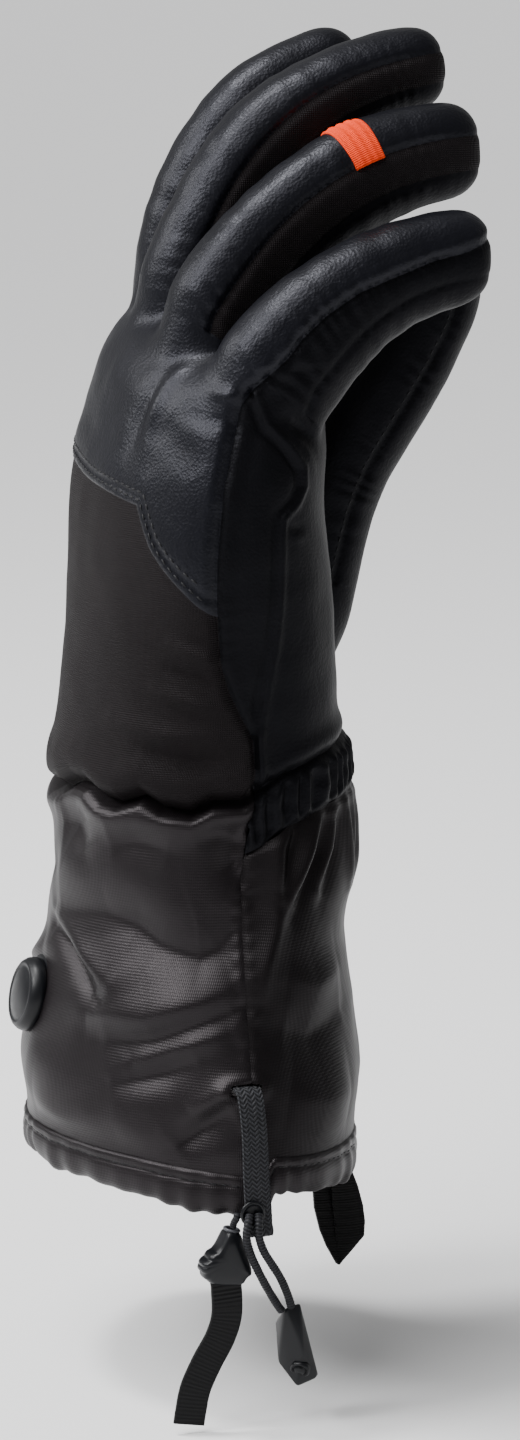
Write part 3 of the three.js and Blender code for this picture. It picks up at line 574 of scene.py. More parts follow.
# Meshes
def new_object(name, points, faces, material):
    """A smooth-shaded mesh object from points in millimetres"""
    mesh = bpy.data.meshes.new(name)
    faces = [tuple(int(v) for v in face) for face in faces]
    mesh.from_pydata((np.asarray(points) * MM).tolist(), [], faces)
    mesh.polygons.foreach_set("use_smooth", [True] * len(mesh.polygons))
    mesh.materials.append(material)
    mesh.update()
    piece = bpy.data.objects.new(name, mesh)
    bpy.context.scene.collection.objects.link(piece)
    return piece


def set_attribute(piece, name, values):
    """A number for each point, for a material to read"""
    data = piece.data.attributes.new(name, "FLOAT", "POINT")
    data.data.foreach_set("value", np.asarray(values, np.float32))


def finish_piece(piece, nodes):
    """Fixes a piece to the glove and hides the solids it stands for"""
    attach(piece, "root")
    if nodes:
        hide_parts(*nodes)


def tube_loft(rings):
    """Points and faces of a closed form over rings, with its ends closed to a middle point"""
    rings = np.asarray(rings)
    rows, sides = rings.shape[:2]
    points = np.concatenate([rings.reshape(-1, 3), rings[0].mean(0)[None], rings[-1].mean(0)[None]])
    faces = [tuple(face) for face in grid_faces(rows, sides, True)]
    first = rows * sides
    top = (rows - 1) * sides
    for side in range(sides):
        following = (side + 1) % sides
        faces.append((first, following, side))
        faces.append((first + 1, top + side, top + following))
    return points, faces


# The hand
def hand_rings(sides=96, rows=90):
    """The hand's sections from below the wrist to the knuckles"""
    turn = 2 * np.pi * (np.arange(sides) + 0.5) / sides
    rings = []
    for height in np.linspace(HAND_ROWS[0][0], 1, rows):
        half_w = read(HAND_ROWS, 1, height) * HAND_HALF_WIDTH
        half_d = read(HAND_ROWS, 2, height) * HAND_HALF_DEPTH
        across, deep = power_ring(turn, half_w, half_d, PAD_ROUND)
        drop = read(HAND_ROWS, 4, height) * KNUCKLE_DROP * ((1 + across / half_w) / 2) ** 2
        z = CUFF_LENGTH + height * HAND_LENGTH - drop
        y = read(HAND_ROWS, 3, height) * HAND_HALF_DEPTH + deep
        rings.append(np.stack([across + FINGER_MIDDLE / 2, y, z], -1))
    return np.array(rings)


def hand_reach(points):
    """How far out points lie on the hand's own form: 1 on its surface"""
    height = (points[:, 2] - CUFF_LENGTH) / HAND_LENGTH
    for _ in range(3):
        half_w = read(HAND_ROWS, 1, height) * HAND_HALF_WIDTH
        side = np.clip((points[:, 0] - FINGER_MIDDLE / 2) / half_w, -1, 1)
        drop = read(HAND_ROWS, 4, height) * KNUCKLE_DROP * ((1 + side) / 2) ** 2
        height = np.clip((points[:, 2] + drop - CUFF_LENGTH) / HAND_LENGTH, -0.15, 1)
    half_d = read(HAND_ROWS, 2, height) * HAND_HALF_DEPTH
    shift = read(HAND_ROWS, 3, height) * HAND_HALF_DEPTH
    a = np.abs(points[:, 0] - FINGER_MIDDLE / 2) / half_w
    b = np.abs(points[:, 1] - shift) / half_d
    return (a ** PAD_ROUND + b ** PAD_ROUND) ** (1 / PAD_ROUND)


class Digit:
    """A finger or the thumb: its middle line and its sizes along it"""

    def __init__(self, x, y, z, length, lean, half_depth, half_width, ends, overlap):
        self.x, self.length, self.overlap = x, length, overlap
        self.half_depth, self.half_width, self.ends = half_depth, half_width, ends
        self.share = np.linspace(0, 1, 49)
        self.lean = np.radians(lean(self.share))
        step = length / 48
        self.y = y + np.concatenate([[0], np.cumsum(np.sin(self.lean[1:]) * step)])
        self.z = z + np.concatenate([[0], np.cumsum(np.cos(self.lean[1:]) * step)])

    def station(self, share):
        inside = np.clip(share, 0, 1)
        lean = np.interp(inside, self.share, self.lean)
        over = (share - inside) * self.length
        course = np.where(share < 0, lean * 0.5, lean)
        y = np.interp(inside, self.share, self.y) + np.sin(course) * over
        z = np.interp(inside, self.share, self.z) + np.cos(course) * over
        deep = self.half_depth * (self.ends[0] + (self.ends[1] - self.ends[0]) * inside)
        wide = self.half_width * (1 + (TIP_WIDTH - 1) * inside)
        return y, z, lean, deep, wide

    def rings(self, sides=56):
        dome = self.half_depth * self.ends[1]
        stem = self.length - dome
        places = list(np.linspace(-self.overlap, stem, 44))
        places += [stem + dome * math.sin(k / 11 * math.pi / 2) for k in range(1, 11)]
        turn = 2 * np.pi * (np.arange(sides) + 0.5) / sides
        rings = []
        for along in places:
            y, z, lean, deep, wide = self.station(along / self.length)
            into = min(max((along - stem) / dome, 0), 1)
            round_off = max((1 - into ** 3.2) ** (1 / 2.3), 0.12)
            tuck = 1 - 0.06 * min(max(-along / 12, 0), 1)
            if not self.overlap:
                # The thumb starts slim, inside the palm
                tuck = 0.5 + 0.5 * float(step_up(along, -10, 48))
            a, b = power_ring(turn, wide * round_off * tuck, deep * round_off * tuck, PAD_ROUND)
            rings.append(np.stack([self.x + a, y - b * math.cos(lean), z + b * math.sin(lean)], -1))
        return np.array(rings)

    def local(self, points):
        """Each point's place along the digit, and how far to its back"""
        line = np.linspace(-0.25, 1.15, 120)
        y, z, lean, deep, wide = self.station(line)
        dy = points[:, 1][:, None] - y[None]
        dz = points[:, 2][:, None] - z[None]
        nearest = (dy ** 2 + dz ** 2).argmin(1)
        rows = np.arange(len(points))
        ny, nz = dy[rows, nearest], dz[rows, nearest]
        tilt = lean[nearest]
        back = -ny * np.cos(tilt) + nz * np.sin(tilt)
        on = ny * np.sin(tilt) + nz * np.cos(tilt)
        return line[nearest] * self.length + on, back, deep[nearest], wide[nearest]


def make_digits():
    """The four fingers and the thumb by name"""
    digits = {}
    for name, (across, palm, height, root, tip, length, deep, end, start) in FINGERS.items():
        digit = Digit(
            FINGER_MIDDLE + across * FINGER_PITCH,
            palm * HAND_HALF_DEPTH * 2,
            CUFF_LENGTH + height * HAND_LENGTH,
            length * FINGER_LENGTH,
            lambda s, a=root, b=tip: a + (b - a) * lerp_table(FINGER_BEND, s),
            FINGER_HALF_DEPTH,
            FINGER_HALF_WIDTH,
            (deep, end),
            ROOT_REACH,
        )
        digit.start = start * digit.length
        digits[name] = digit
    digits["thumb"] = Digit(
        THUMB_X,
        0.3 * HAND_HALF_DEPTH * 2,
        CUFF_LENGTH,
        THUMB_LENGTH,
        lambda s: read([(a, b) for a, b in THUMB_BEND], 1, s),
        THUMB_HALF_DEPTH,
        THUMB_HALF_WIDTH,
        (1, 0.8),
        0,
    )
    digits["thumb"].start = THUMB_START * THUMB_LENGTH
    return digits


def joined_body(digits):
    """The hand and its digits melted into one skin: its points and triangles"""
    points, faces = [], []
    count = 0
    for rings in [hand_rings()] + [digit.rings() for digit in digits.values()]:
        new_points, new_faces = tube_loft(rings)
        points.append(new_points)
        faces += [tuple(v + count for v in face) for face in new_faces]
        count += len(new_points)
    mesh = bpy.data.meshes.new("body")
    mesh.from_pydata((np.concatenate(points) * MM).tolist(), [], faces)
    body = bpy.data.objects.new("body", mesh)
    bpy.context.scene.collection.objects.link(body)
    remesh = body.modifiers.new("melt", "REMESH")
    remesh.mode = "VOXEL"
    remesh.voxel_size = VOXEL * MM
    depsgraph = bpy.context.evaluated_depsgraph_get()
    done = body.evaluated_get(depsgraph).to_mesh()
    spots = np.empty(len(done.vertices) * 3)
    done.vertices.foreach_get("co", spots)
    spots = spots.reshape(-1, 3) / MM
    done.calc_loop_triangles()
    tris = np.empty(len(done.loop_triangles) * 3, int)
    done.loop_triangles.foreach_get("vertices", tris)
    tris = tris.reshape(-1, 3)
    body.to_mesh_clear()
    bpy.data.objects.remove(body)
    bpy.data.meshes.remove(mesh)
    return spots, tris


def edges_of(tris):
    """Each edge of the triangles once"""
    pairs = np.concatenate([tris[:, [0, 1]], tris[:, [1, 2]], tris[:, [2, 0]]])
    pairs.sort(axis=1)
    return np.unique(pairs, axis=0)


def relax(points, edges, rounds, amount):
    """Moves each point towards the middle of its neighbours, by its own amount"""
    count = len(points)
    degree = np.bincount(edges.ravel(), minlength=count).astype(float)[:, None]
    for _ in range(rounds):
        total = np.zeros_like(points)
        for axis in range(3):
            total[:, axis] = (
                np.bincount(edges[:, 0], points[edges[:, 1], axis], count)
                + np.bincount(edges[:, 1], points[edges[:, 0], axis], count)
            )
        points = points + amount * (total / np.maximum(degree, 1) - points)
    return points


def normals_of(points, tris):
    """Smooth directions out of the skin at its points"""
    a, b, c = points[tris[:, 0]], points[tris[:, 1]], points[tris[:, 2]]
    faces = np.cross(b - a, c - a)
    total = np.zeros_like(points)
    for corner in range(3):
        for axis in range(3):
            total[:, axis] += np.bincount(tris[:, corner], faces[:, axis], len(points))
    return total / np.maximum(np.linalg.norm(total, axis=1, keepdims=True), 1e-12)


def cut_along(points, tris, region, field, inside):
    """Splits the triangles that the field's zero line crosses, where inside is true"""
    field = field.copy()
    edges = edges_of(tris[inside])
    f0, f1 = field[edges[:, 0]], field[edges[:, 1]]
    crossing = f0 * f1 < 0
    for end, f, other in ((0, f0, f1), (1, f1, f0)):
        close = crossing & (np.abs(f) < 0.12 * np.abs(f - other))
        field[edges[close, end]] = 0
    f0, f1 = field[edges[:, 0]], field[edges[:, 1]]
    crossing = edges[f0 * f1 < 0]
    t = field[crossing[:, 0]] / (field[crossing[:, 0]] - field[crossing[:, 1]])
    added = points[crossing[:, 0]] * (1 - t[:, None]) + points[crossing[:, 1]] * t[:, None]
    between = {(int(a), int(b)): len(points) + k for k, (a, b) in enumerate(crossing)}
    points = np.concatenate([points, added])
    sign = np.sign(field)
    keep = np.ones(len(tris), bool)
    new_tris, new_region = [], []

    def middle(a, b):
        return between.get((a, b) if a < b else (b, a))

    candidates = np.nonzero(inside & ((sign[tris].max(1) > 0) & (sign[tris].min(1) < 0)))[0]
    for index in candidates:
        corners = [int(v) for v in tris[index]]
        splits = [middle(corners[k], corners[(k + 1) % 3]) for k in range(3)]
        crossed = [k for k in range(3) if splits[k] is not None]
        if not crossed:
            continue
        keep[index] = False
        whole = [k for k in range(3) if splits[k] is None]
        k = crossed[0] if len(crossed) == 1 else whole[0] if whole else 0
        a, b, c = corners[k], corners[(k + 1) % 3], corners[(k + 2) % 3]
        if len(crossed) == 1:
            parts = [(a, splits[k], c), (splits[k], b, c)]
        else:
            # The side from a to b isn't crossed, and the two others are
            near_b, near_a = splits[(k + 1) % 3], splits[(k + 2) % 3]
            parts = [(c, near_a, near_b), (near_a, a, b), (near_a, b, near_b)]
        new_tris += parts
        new_region += [region[index]] * len(parts)
    if new_tris:
        tris = np.concatenate([tris[keep], np.array(new_tris)])
        region = np.concatenate([region[keep], np.array(new_region)])
    return points, tris, region


def solid_skin(name, points, normals, tris, wall, material):
    """A closed piece: the outer skin, an inner skin a wall further in, and rims between them"""
    used, index = np.unique(tris, return_inverse=True)
    tris = index.reshape(-1, 3)
    outer = points[used]
    smooth = normals[used]
    count = len(used)
    inner = outer - smooth * wall
    edges = np.concatenate([tris[:, [0, 1]], tris[:, [1, 2]], tris[:, [2, 0]]])
    keys = edges[:, 0] * count + edges[:, 1]
    mirrored = edges[:, 1] * count + edges[:, 0]
    border = edges[~np.isin(keys, mirrored)]
    rims = np.stack([border[:, 1], border[:, 0], border[:, 0] + count, border[:, 1] + count], -1)
    faces = [tuple(face) for face in tris.tolist()]
    faces += [tuple(face) for face in (tris[:, ::-1] + count).tolist()]
    faces += [tuple(face) for face in rims.tolist()]
    piece = new_object(name, np.concatenate([outer, inner]), faces, material)
    mesh = piece.data
    loops = np.zeros((len(mesh.loops), 3))
    outer_count = len(tris) * 3
    loops[:outer_count] = smooth[tris.ravel()]
    loops[outer_count:2 * outer_count] = -smooth[tris[:, ::-1].ravel()]
    mesh.normals_split_custom_set(loops.tolist())
    return piece


def soften_roots(points, edges, digits):
    """Melts the fingers softly into the back of the hand, and the thumb into the palm"""
    soft = np.zeros(len(points))
    for name, digit in digits.items():
        along, back, deep, wide = digit.local(points)
        if name == "thumb":
            near = bell(hand_reach(points) - 1.05, 0.25)
            near *= step_up(along, 40, 60) * (1 - step_up(along, 90, 110))
            soft = np.maximum(soft, 0.55 * near * (points[:, 0] < -10))
            continue
        beside = bell(points[:, 0] - digit.x, 15)
        around = bell(along - digit.start, 13) * beside * step_up(back, -deep, 0)
        soft = np.maximum(soft, 0.6 * around)
    return relax(points, edges, ROOT_ROUNDS, soft[:, None])


def split_fingers(points, tris, region, digits):
    """Cuts each finger from the hand at its root, and from its neighbours"""
    for place, name in enumerate(FINGERS, start=1):
        digit = digits[name]
        low = digit.x - FINGER_PITCH / 2 if name != "index" else -FAR_OUT
        high = digit.x + FINGER_PITCH / 2 if name != "little" else FAR_OUT
        along, back, deep, wide = digit.local(points)
        close = (np.abs(points[:, 0] - digit.x) < FINGER_REACH) & (np.abs(back) < BACK_REACH)
        inside = (region == 0) & close[tris].all(1)
        points, tris, region = cut_along(points, tris, region, along - digit.start, inside)
        for edge in (low, high):
            if abs(edge) == FAR_OUT:
                continue
            past = digit.local(points)[0] - digit.start
            beside = (np.abs(points[:, 0] - edge) < 4)[tris].all(1)
            inside = (region == 0) & (past[tris].min(1) > -0.5) & beside
            points, tris, region = cut_along(points, tris, region, points[:, 0] - edge, inside)
        middle = points[tris].mean(1)
        along, back, deep, wide = digit.local(middle)
        between = (middle[:, 0] > low) & (middle[:, 0] < high)
        near = between & (np.abs(back) < BACK_REACH)
        region[(region == 0) & (along > digit.start) & near] = place
    return points, tris, region


def thumb_space(places, digit):
    """Where the thumb stands clear of the palm"""
    along, back, deep, wide = digit.local(places)
    ratio = np.hypot((places[:, 0] - digit.x) / wide, back / deep)
    close = (ratio < 1.5) & (places[:, 1] > 25) & (places[:, 0] < 0)
    return close, np.minimum(along - digit.start, (hand_reach(places) - THUMB_CLEAR) * 40)


def split_thumb(points, tris, region, digit):
    """Cuts the thumb from the hand where it stands clear"""
    close, field = thumb_space(points, digit)
    inside = (region == 0) & close[tris].all(1)
    points, tris, region = cut_along(points, tris, region, field, inside)
    close, field = thumb_space(points[tris].mean(1), digit)
    region[(region == 0) & close & (field > 0)] = THUMB_REGION
    return points, tris, region


def cut_seams(points, tris, region, digits):
    """Cuts the skin along each seam inside its own region"""
    for key in HAND_SEAMS:
        inside = region == 0
        if key == "gusset":
            inside &= (points[:, 0] > 8)[tris].all(1)
        if key == "yoke":
            inside &= (points[:, 1] < 10)[tris].all(1)
        field = seam_field(key, points, digits)
        points, tris, region = cut_along(points, tris, region, field, inside)
    keys = {"thumb": [("thumb", "middle")], "little": ["edge", ("little", "front")]}
    for place, name in enumerate([*FINGERS, "thumb"], start=1):
        for key in keys.get(name, [(name, "back"), (name, "front")]):
            field = seam_field(key, points, digits)
            points, tris, region = cut_along(points, tris, region, field, region == place)
    return points, tris, region


def make_hand():
    """The joined skin: digits, points, triangles, the region of each, and the seams' fields"""
    digits = make_digits()
    points, tris = joined_body(digits)
    edges = edges_of(tris)
    points = relax(points, edges, SKIN_ROUNDS, 0.5)
    points = soften_roots(points, edges, digits)
    region = np.zeros(len(tris), int)
    points, tris, region = split_fingers(points, tris, region, digits)
    points, tris, region = split_thumb(points, tris, region, digits["thumb"])
    points, tris, region = cut_seams(points, tris, region, digits)
    return digits, points, tris, region, all_fields(points, digits)


def seam_field(key, points, digits):
    """One seam as a field over the skin: zero on the seam"""
    if key == "edge":
        return -signed_line(points[:, 1], points[:, 2], EDGE_SEAM)[0]
    if key == "gusset":
        return -signed_line(points[:, 1], points[:, 2], GUSSET_SEAM)[0]
    if key == "yoke":
        return signed_line(points[:, 0], points[:, 2], YOKE_SEAM)[0]
    if key == "wrist":
        return points[:, 2] - wrist_line(cuff_turn(points[:, 0], points[:, 1], 1.0))
    name, kind = key
    along, back, deep, wide = digits[name].local(points)
    return back - {"back": BACK_SEAM, "front": FRONT_SEAM, "middle": THUMB_SEAM}[kind] * deep


def all_fields(points, digits):
    """Every seam's field, and each point's place along its digit"""
    fields = {key: seam_field(key, points, digits) for key in HAND_SEAMS}
    fields["edge_along"] = signed_line(points[:, 1], points[:, 2], EDGE_SEAM)[1]
    for name, digit in digits.items():
        along, back, deep, wide = digit.local(points)
        fields[name, "back"] = back - BACK_SEAM * deep
        fields[name, "front"] = back - FRONT_SEAM * deep
        fields[name, "along"] = along
        fields[name, "middle"] = back - THUMB_SEAM * deep
    return fields


# Sewn grooves: depth, width, height of the puckers, their spread and step, seed
GROOVES = {
    "finger_back": (0.8, 0.95, 0.13, 4.5, 4.1, 20),
    "finger_front": (0.6, 1.0, 0.15, 5, 5.2, 30),
    "edge": (1.0, 1.0, 0.16, 5, 4.3, 71),
    "thumb": (0.9, 1.2, 0.3, 6, 5.5, 81),
}


def sewn_groove(kind, distance, along, mine, near_tip, place=0):
    """A sewn groove with small creases that run away from it"""
    depth, width, pucker, spread, step, seed = GROOVES[kind]
    line = np.stack([along, along * 0], -1)
    fold = np.sin(2 * np.pi * along / step + 2.2 * wave_noise(line, 17, seed=seed + place))
    strength = np.clip(0.65 + 0.5 * wave_noise(line, 31, seed=seed + place + 50), 0.1, 1.4)
    shape = -depth * bell(distance, width) + 0.22 * depth * bell(np.abs(distance) - 3 * width, 2.2 * width)
    shape += pucker * fold * strength * bell(distance, spread) * (1 - 0.4 * bell(distance, width))
    return np.where(mine, shape * (1 - 0.7 * near_tip), 0)


def tip_nearness(owner, digits, fields):
    """0 along a finger, rising to 1 at its tip"""
    near_tip = np.zeros(len(owner))
    for place, name in enumerate(FINGERS, start=1):
        mine = owner == place
        length = digits[name].length
        near_tip[mine] = step_up(fields[name, "along"][mine], length - 20, length - 7)
    return near_tip


def finger_push(points, owner, near_tip, digits, fields):
    """Seams, root folds and bend folds of the four fingers"""
    push = np.zeros(len(points))
    for place, name in enumerate(FINGERS, start=1):
        mine = owner == place
        along = fields[name, "along"]
        if name != "little":
            push += sewn_groove("finger_back", fields[name, "back"], along, mine, near_tip, place)
        push += sewn_groove("finger_front", fields[name, "front"], along, mine, near_tip, place)
        root = bell(along - digits[name].start - 6, 16)
        side = bell(fields[name, "back"] + 3, 8)
        ripple = np.sin(2 * np.pi * along / 5.1 + 1.5 * wave_noise(points, 20, seed=40 + place))
        push += np.where(mine, 0.3 * root * side * ripple, 0)
        bend = np.sin(2 * np.pi * along / 9.5 + 1.2 * wave_noise(points, 30, seed=60 + place))
        push += np.where(mine, 0.10 * bend * step_up(along, 8, 25) * (1 - step_up(along, 60, 80)), 0)
    return push


def side_push(points, owner, near_tip, fields):
    """The seam along the hand's outer edge, the recessed side panel and the thumb's seam"""
    edge, gusset = fields["edge"], fields["gusset"]
    outer = ((owner == 0) & (points[:, 0] > 20)) | (owner == 1)
    push = sewn_groove("edge", edge, fields["edge_along"], outer, near_tip)
    push += np.where(outer, 0.9 * step_up(edge, 0.3, 3) * (1 - step_up(edge, 6, 16)), 0)
    push += np.where(outer & (points[:, 2] < 236), -0.9 * bell(edge + 4.5, 4), 0)
    panel = (owner == 0) & (points[:, 0] > 8)
    push += np.where(panel, 1.0 * bell(gusset + 0.8, 1.1) - 0.8 * bell(gusset - 1.6, 1.3), 0)
    thumb = owner == THUMB_REGION
    return push + sewn_groove("thumb", fields["thumb", "middle"], fields["thumb", "along"], thumb, near_tip)


def back_push(points, owner, fields):
    """The yoke's cut edge on the fabric, and the panels' swell over the wrist fold"""
    back = (owner == 0) & (points[:, 1] < 8) & (fields["edge"] > -1)
    yoke, low = fields["yoke"], fields["wrist"]
    lip = 0.6 * step_up(yoke, -0.35, 0.35) * (1 - step_up(yoke, 4, 14)) - 0.35 * bell(yoke - 2.6, 0.7)
    dorsal = step_up(-points[:, 1], -10, 0)
    push = np.where(back, lip, 0)
    push += (owner == 0) * dorsal * (1.3 * bell(low - 7, 5) - 4.6 * bell(low + 0.3, 2.6))
    return push + (owner == 0) * (1 - dorsal) * (0.6 * bell(low - 4, 3) - 2.2 * bell(low + 0.3, 2))


def stroke_push(points, owner):
    """Soft ridges, dents and creases drawn as lines"""
    push = np.zeros(len(points))
    for line, width, height in HAND_STROKES:
        distance, along = stroke_distance(points, line)
        total = sum(math.dist(a, b) for a, b in zip(line[:-1], line[1:]))
        fade = np.sin(np.clip(along / total, 0.04, 0.96) * np.pi) ** 0.5
        push += height * bell(distance, width) * fade * (owner == 0)
    return push


def shape_hand(digits, points, tris, region, fields):
    """Sculpts seams, puckers, creases and soft dents into the joined skin"""
    normals = normals_of(points, tris)
    owner = np.zeros(len(points), int)
    for place in range(1, THUMB_REGION + 1):
        owner[tris[region == place].ravel()] = place
    near_tip = tip_nearness(owner, digits, fields)
    push = 0.35 * wave_noise(points, 46, seed=3) + 0.06 * wave_noise(points, 13, seed=4)
    push += finger_push(points, owner, near_tip, digits, fields)
    push += side_push(points, owner, near_tip, fields)
    push += back_push(points, owner, fields)
    push += stroke_push(points, owner)
    return points + normals * push[:, None]


# Ridges and dents of the hand: places in millimetres, width, height (negative is a dent)
HAND_STROKES = [
    ([(24, -9, 236), (24, -16, 229), (25, -22, 219), (28, -27, 207)], 2.6, 1.0),
    ([(20, -8, 236), (19, -17, 228), (19, -25, 217), (20, -30, 206)], 3.2, -0.9),
    ([(-2, -14, 248), (-3, -20, 242), (-8, -26, 232), (-14, -29, 222)], 4.0, 0.7),
    ([(30, -20, 222), (38, -16, 214), (44, -12, 205)], 5.0, -0.8),
    ([(36, -12, 231), (42, -7, 229), (48, 0, 227)], 2.0, 0.8),
    ([(36, -16, 224), (42, -12, 222), (48, -5, 221)], 2.2, -0.8),
    ([(50, 12, 222), (49, 17, 219), (48, 24, 214), (46, 30, 208)], 2.6, -3.0),
    ([(50, 16, 214), (48, 24, 207), (46, 32, 200)], 2.4, 1.4),
    ([(50, 20, 221), (49, 22, 213)], 1.5, 1.2),
    ([(51, 11, 192), (50, 20, 191), (47, 30, 190), (40, 38, 189)], 1.3, -0.9),
    ([(51, 11, 189), (50, 20, 188), (47, 30, 187), (40, 38, 186)], 1.4, 0.6),
    ([(46, 32, 222), (44, 35, 213), (44, 34, 205), (40, 38, 196), (30, 42, 186)], 2.2, 1.6),
    ([(48, 28, 220), (47, 30, 212), (47, 30, 203), (46, 31, 193)], 2.4, -1.4),
    ([(30, 40, 206), (24, 44, 196), (16, 45, 186)], 2.6, 1.4),
    ([(34, 40, 204), (28, 43, 194), (20, 45, 184)], 2.6, -1.2),
    ([(51, 0, 170), (52, 3, 150), (51, 3, 138)], 3.5, -0.7),
    ([(42, -20, 160), (47, -14, 157), (51, -8, 154)], 1.9, 1.5),
    ([(41, -21, 153), (47, -14, 150), (51, -7, 147)], 2.0, -1.4),
    ([(38, -24, 147), (46, -14, 143), (51, -4, 141)], 2.0, 1.3),
    ([(34, -27, 129), (46, -14, 126), (51, -3, 128)], 2.6, -1.7),
    ([(24, -32, 137), (40, -22, 134), (50, -6, 134)], 2.8, 1.4),
]


def iso_lines(points, normals, tris, field):
    """The places where a field is zero on the skin, chained into lines of place and normal"""
    values = field[tris]
    crossing = tris[(values.min(1) < 0) & (values.max(1) >= 0)]
    spots, links = {}, {}
    for tri in crossing.tolist():
        ends = []
        for a, b in ((tri[0], tri[1]), (tri[1], tri[2]), (tri[2], tri[0])):
            if (field[a] < 0) == (field[b] < 0):
                continue
            key = (min(a, b), max(a, b))
            if key not in spots:
                t = field[key[0]] / (field[key[0]] - field[key[1]])
                spots[key] = np.concatenate([
                    points[key[0]] * (1 - t) + points[key[1]] * t,
                    normals[key[0]] * (1 - t) + normals[key[1]] * t,
                ])
            ends.append(key)
        if len(ends) == 2:
            links.setdefault(ends[0], []).append(ends[1])
            links.setdefault(ends[1], []).append(ends[0])
    lines, seen = [], set()
    starts = [key for key in links if len(links[key]) == 1] + list(links)
    for start in starts:
        if start in seen:
            continue
        line, key = [], start
        while key is not None and key not in seen:
            seen.add(key)
            line.append(spots[key])
            key = next((other for other in links[key] if other not in seen), None)
        if len(line) > 8:
            lines.append(np.array(line))
    return lines


def stitch_mesh(lines, length, gap, radius, sink):
    """Short rounded threads along lines of place and normal: points and faces"""
    points, faces = [], []
    sides = 6
    shape = [(-0.5, 0.15), (-0.42, 0.75), (0.0, 1.0), (0.42, 0.75), (0.5, 0.15)]
    for line in lines:
        steps = np.linalg.norm(np.diff(line[:, :3], axis=0), axis=1)
        at = np.concatenate([[0], np.cumsum(steps)])
        if at[-1] < 2 * length:
            continue
        middles = np.arange(length, at[-1] - length, length + gap)
        for middle in middles:
            here = np.array([np.interp(middle, at, line[:, k]) for k in range(6)])
            past = np.array([np.interp(middle + 0.8, at, line[:, k]) for k in range(3)])
            ahead = past - np.array([np.interp(middle - 0.8, at, line[:, k]) for k in range(3)])
            ahead /= max(np.linalg.norm(ahead), 1e-9)
            up = here[3:] / np.linalg.norm(here[3:])
            side = np.cross(ahead, up)
            first = len(points)
            for share, wide in shape:
                rise = 0.5 * radius * wide - sink
                centre = here[:3] + ahead * share * length + up * rise
                for k in range(sides):
                    turn = 2 * math.pi * k / sides
                    points.append(centre + radius * wide * (side * math.cos(turn) + up * math.sin(turn)))
            for row in range(len(shape) - 1):
                for k in range(sides):
                    a, b = first + row * sides + k, first + row * sides + (k + 1) % sides
                    faces.append((a, b, b + sides, a + sides))
            faces.append(tuple(first + k for k in reversed(range(sides))))
            faces.append(tuple(first + (len(shape) - 1) * sides + k for k in range(sides)))
    return points, faces


# Stitches: length, gap and radius of the thread
STITCHES = {
    "yoke_stitches": (2.0, 1.0, 0.3),
    "index_stitches": (1.7, 1.2, 0.26),
    "thumb_stitches": (1.8, 1.1, 0.24),
    "hem_stitches": (2.1, 1.1, 0.26),
}
STITCH_SINK = 0.1
INDEX_REGION = 4


def make_stitches(name, lines, material):
    """One piece of all the stitches along some lines"""
    points, faces = stitch_mesh(lines, *STITCHES[name], STITCH_SINK)
    if points:
        piece = new_object(name, points, faces, material)
        finish_piece(piece, [])


def hand_stitches(points, normals, tris, region, fields, materials):
    """Stitch rows beside the yoke's, index finger's and thumb's seams"""
    thread = materials["thread"]
    middle = points[tris].mean(1)
    hand = (region == 0) & (fields["edge"][tris].min(1) > 1.5) & (middle[:, 1] < 12)
    rows = [iso_lines(points, normals, tris[hand], fields["yoke"] - offset) for offset in (1.7, 3.9)]
    make_stitches("yoke_stitches", rows[0] + rows[1], thread)
    index = region == INDEX_REGION
    rows = iso_lines(points, normals, tris[index & (middle[:, 0] > -42)], fields["index", "back"] - 1.9)
    make_stitches("index_stitches", rows, thread)
    thumb = region == THUMB_REGION
    rows = iso_lines(points, normals, tris[thumb], fields["thumb", "middle"] - 2.0)
    make_stitches("thumb_stitches", rows, thread)


def hand_masks(points, tris, region, fields):
    """Which triangles belong to each piece of the hand"""
    middle_of = {key: value[tris].mean(1) for key, value in fields.items()}
    middle = points[tris].mean(1)
    dorsal = middle_of["edge"] > 0
    masks = {}
    for place, name in enumerate(FINGERS, start=1):
        mine = region == place
        back = dorsal if name == "little" else middle_of[name, "back"] > 0
        front = middle_of[name, "front"] < 0
        masks[f"{name}_back"] = mine & back
        masks[f"{name}_fourchette"] = mine & ~back & ~front
        masks[f"{name}_front"] = mine & ~back & front
    thumb_back = middle_of["thumb", "middle"] > 0
    masks["thumb_back"] = (region == THUMB_REGION) & thumb_back
    masks["thumb_front"] = (region == THUMB_REGION) & ~thumb_back
    hand = (region == 0) & (middle_of["wrist"] > 0)
    back = hand & dorsal & (middle[:, 1] < 30)
    yoke = middle_of["yoke"] > 0
    masks["back_yoke"] = back & yoke
    masks["back_panel"] = back & ~yoke
    masks["side_gusset"] = hand & ~dorsal & (middle[:, 0] > 8) & (middle_of["gusset"] > 0)
    masks["palm_panel"] = hand & ~back & ~masks["side_gusset"]
    return masks


def hand_pieces(materials):
    """Makes the hand's pieces and stitches, and gives back its digits"""
    digits, points, tris, region, fields = make_hand()
    points = shape_hand(digits, points, tris, region, fields)
    normals = normals_of(points, tris)
    hand_stitches(points, normals, tris, region, fields, materials)
    for name, mine in hand_masks(points, tris, region, fields).items():
        fabric = name == "back_panel" or (name.endswith("fourchette") and name != "little_fourchette")
        # The palm-side and under pieces take the darker leather copy, which paints shade into them
        dark = name in PAINTED_SHADE_PIECES or name.endswith("front")
        material = materials["fabric" if fabric else "side_leather" if dark else "leather"]
        piece = solid_skin(name + "_skin", points, normals, tris[mine], HAND_WALL, material)
        finish_piece(piece, [name])
    return digits


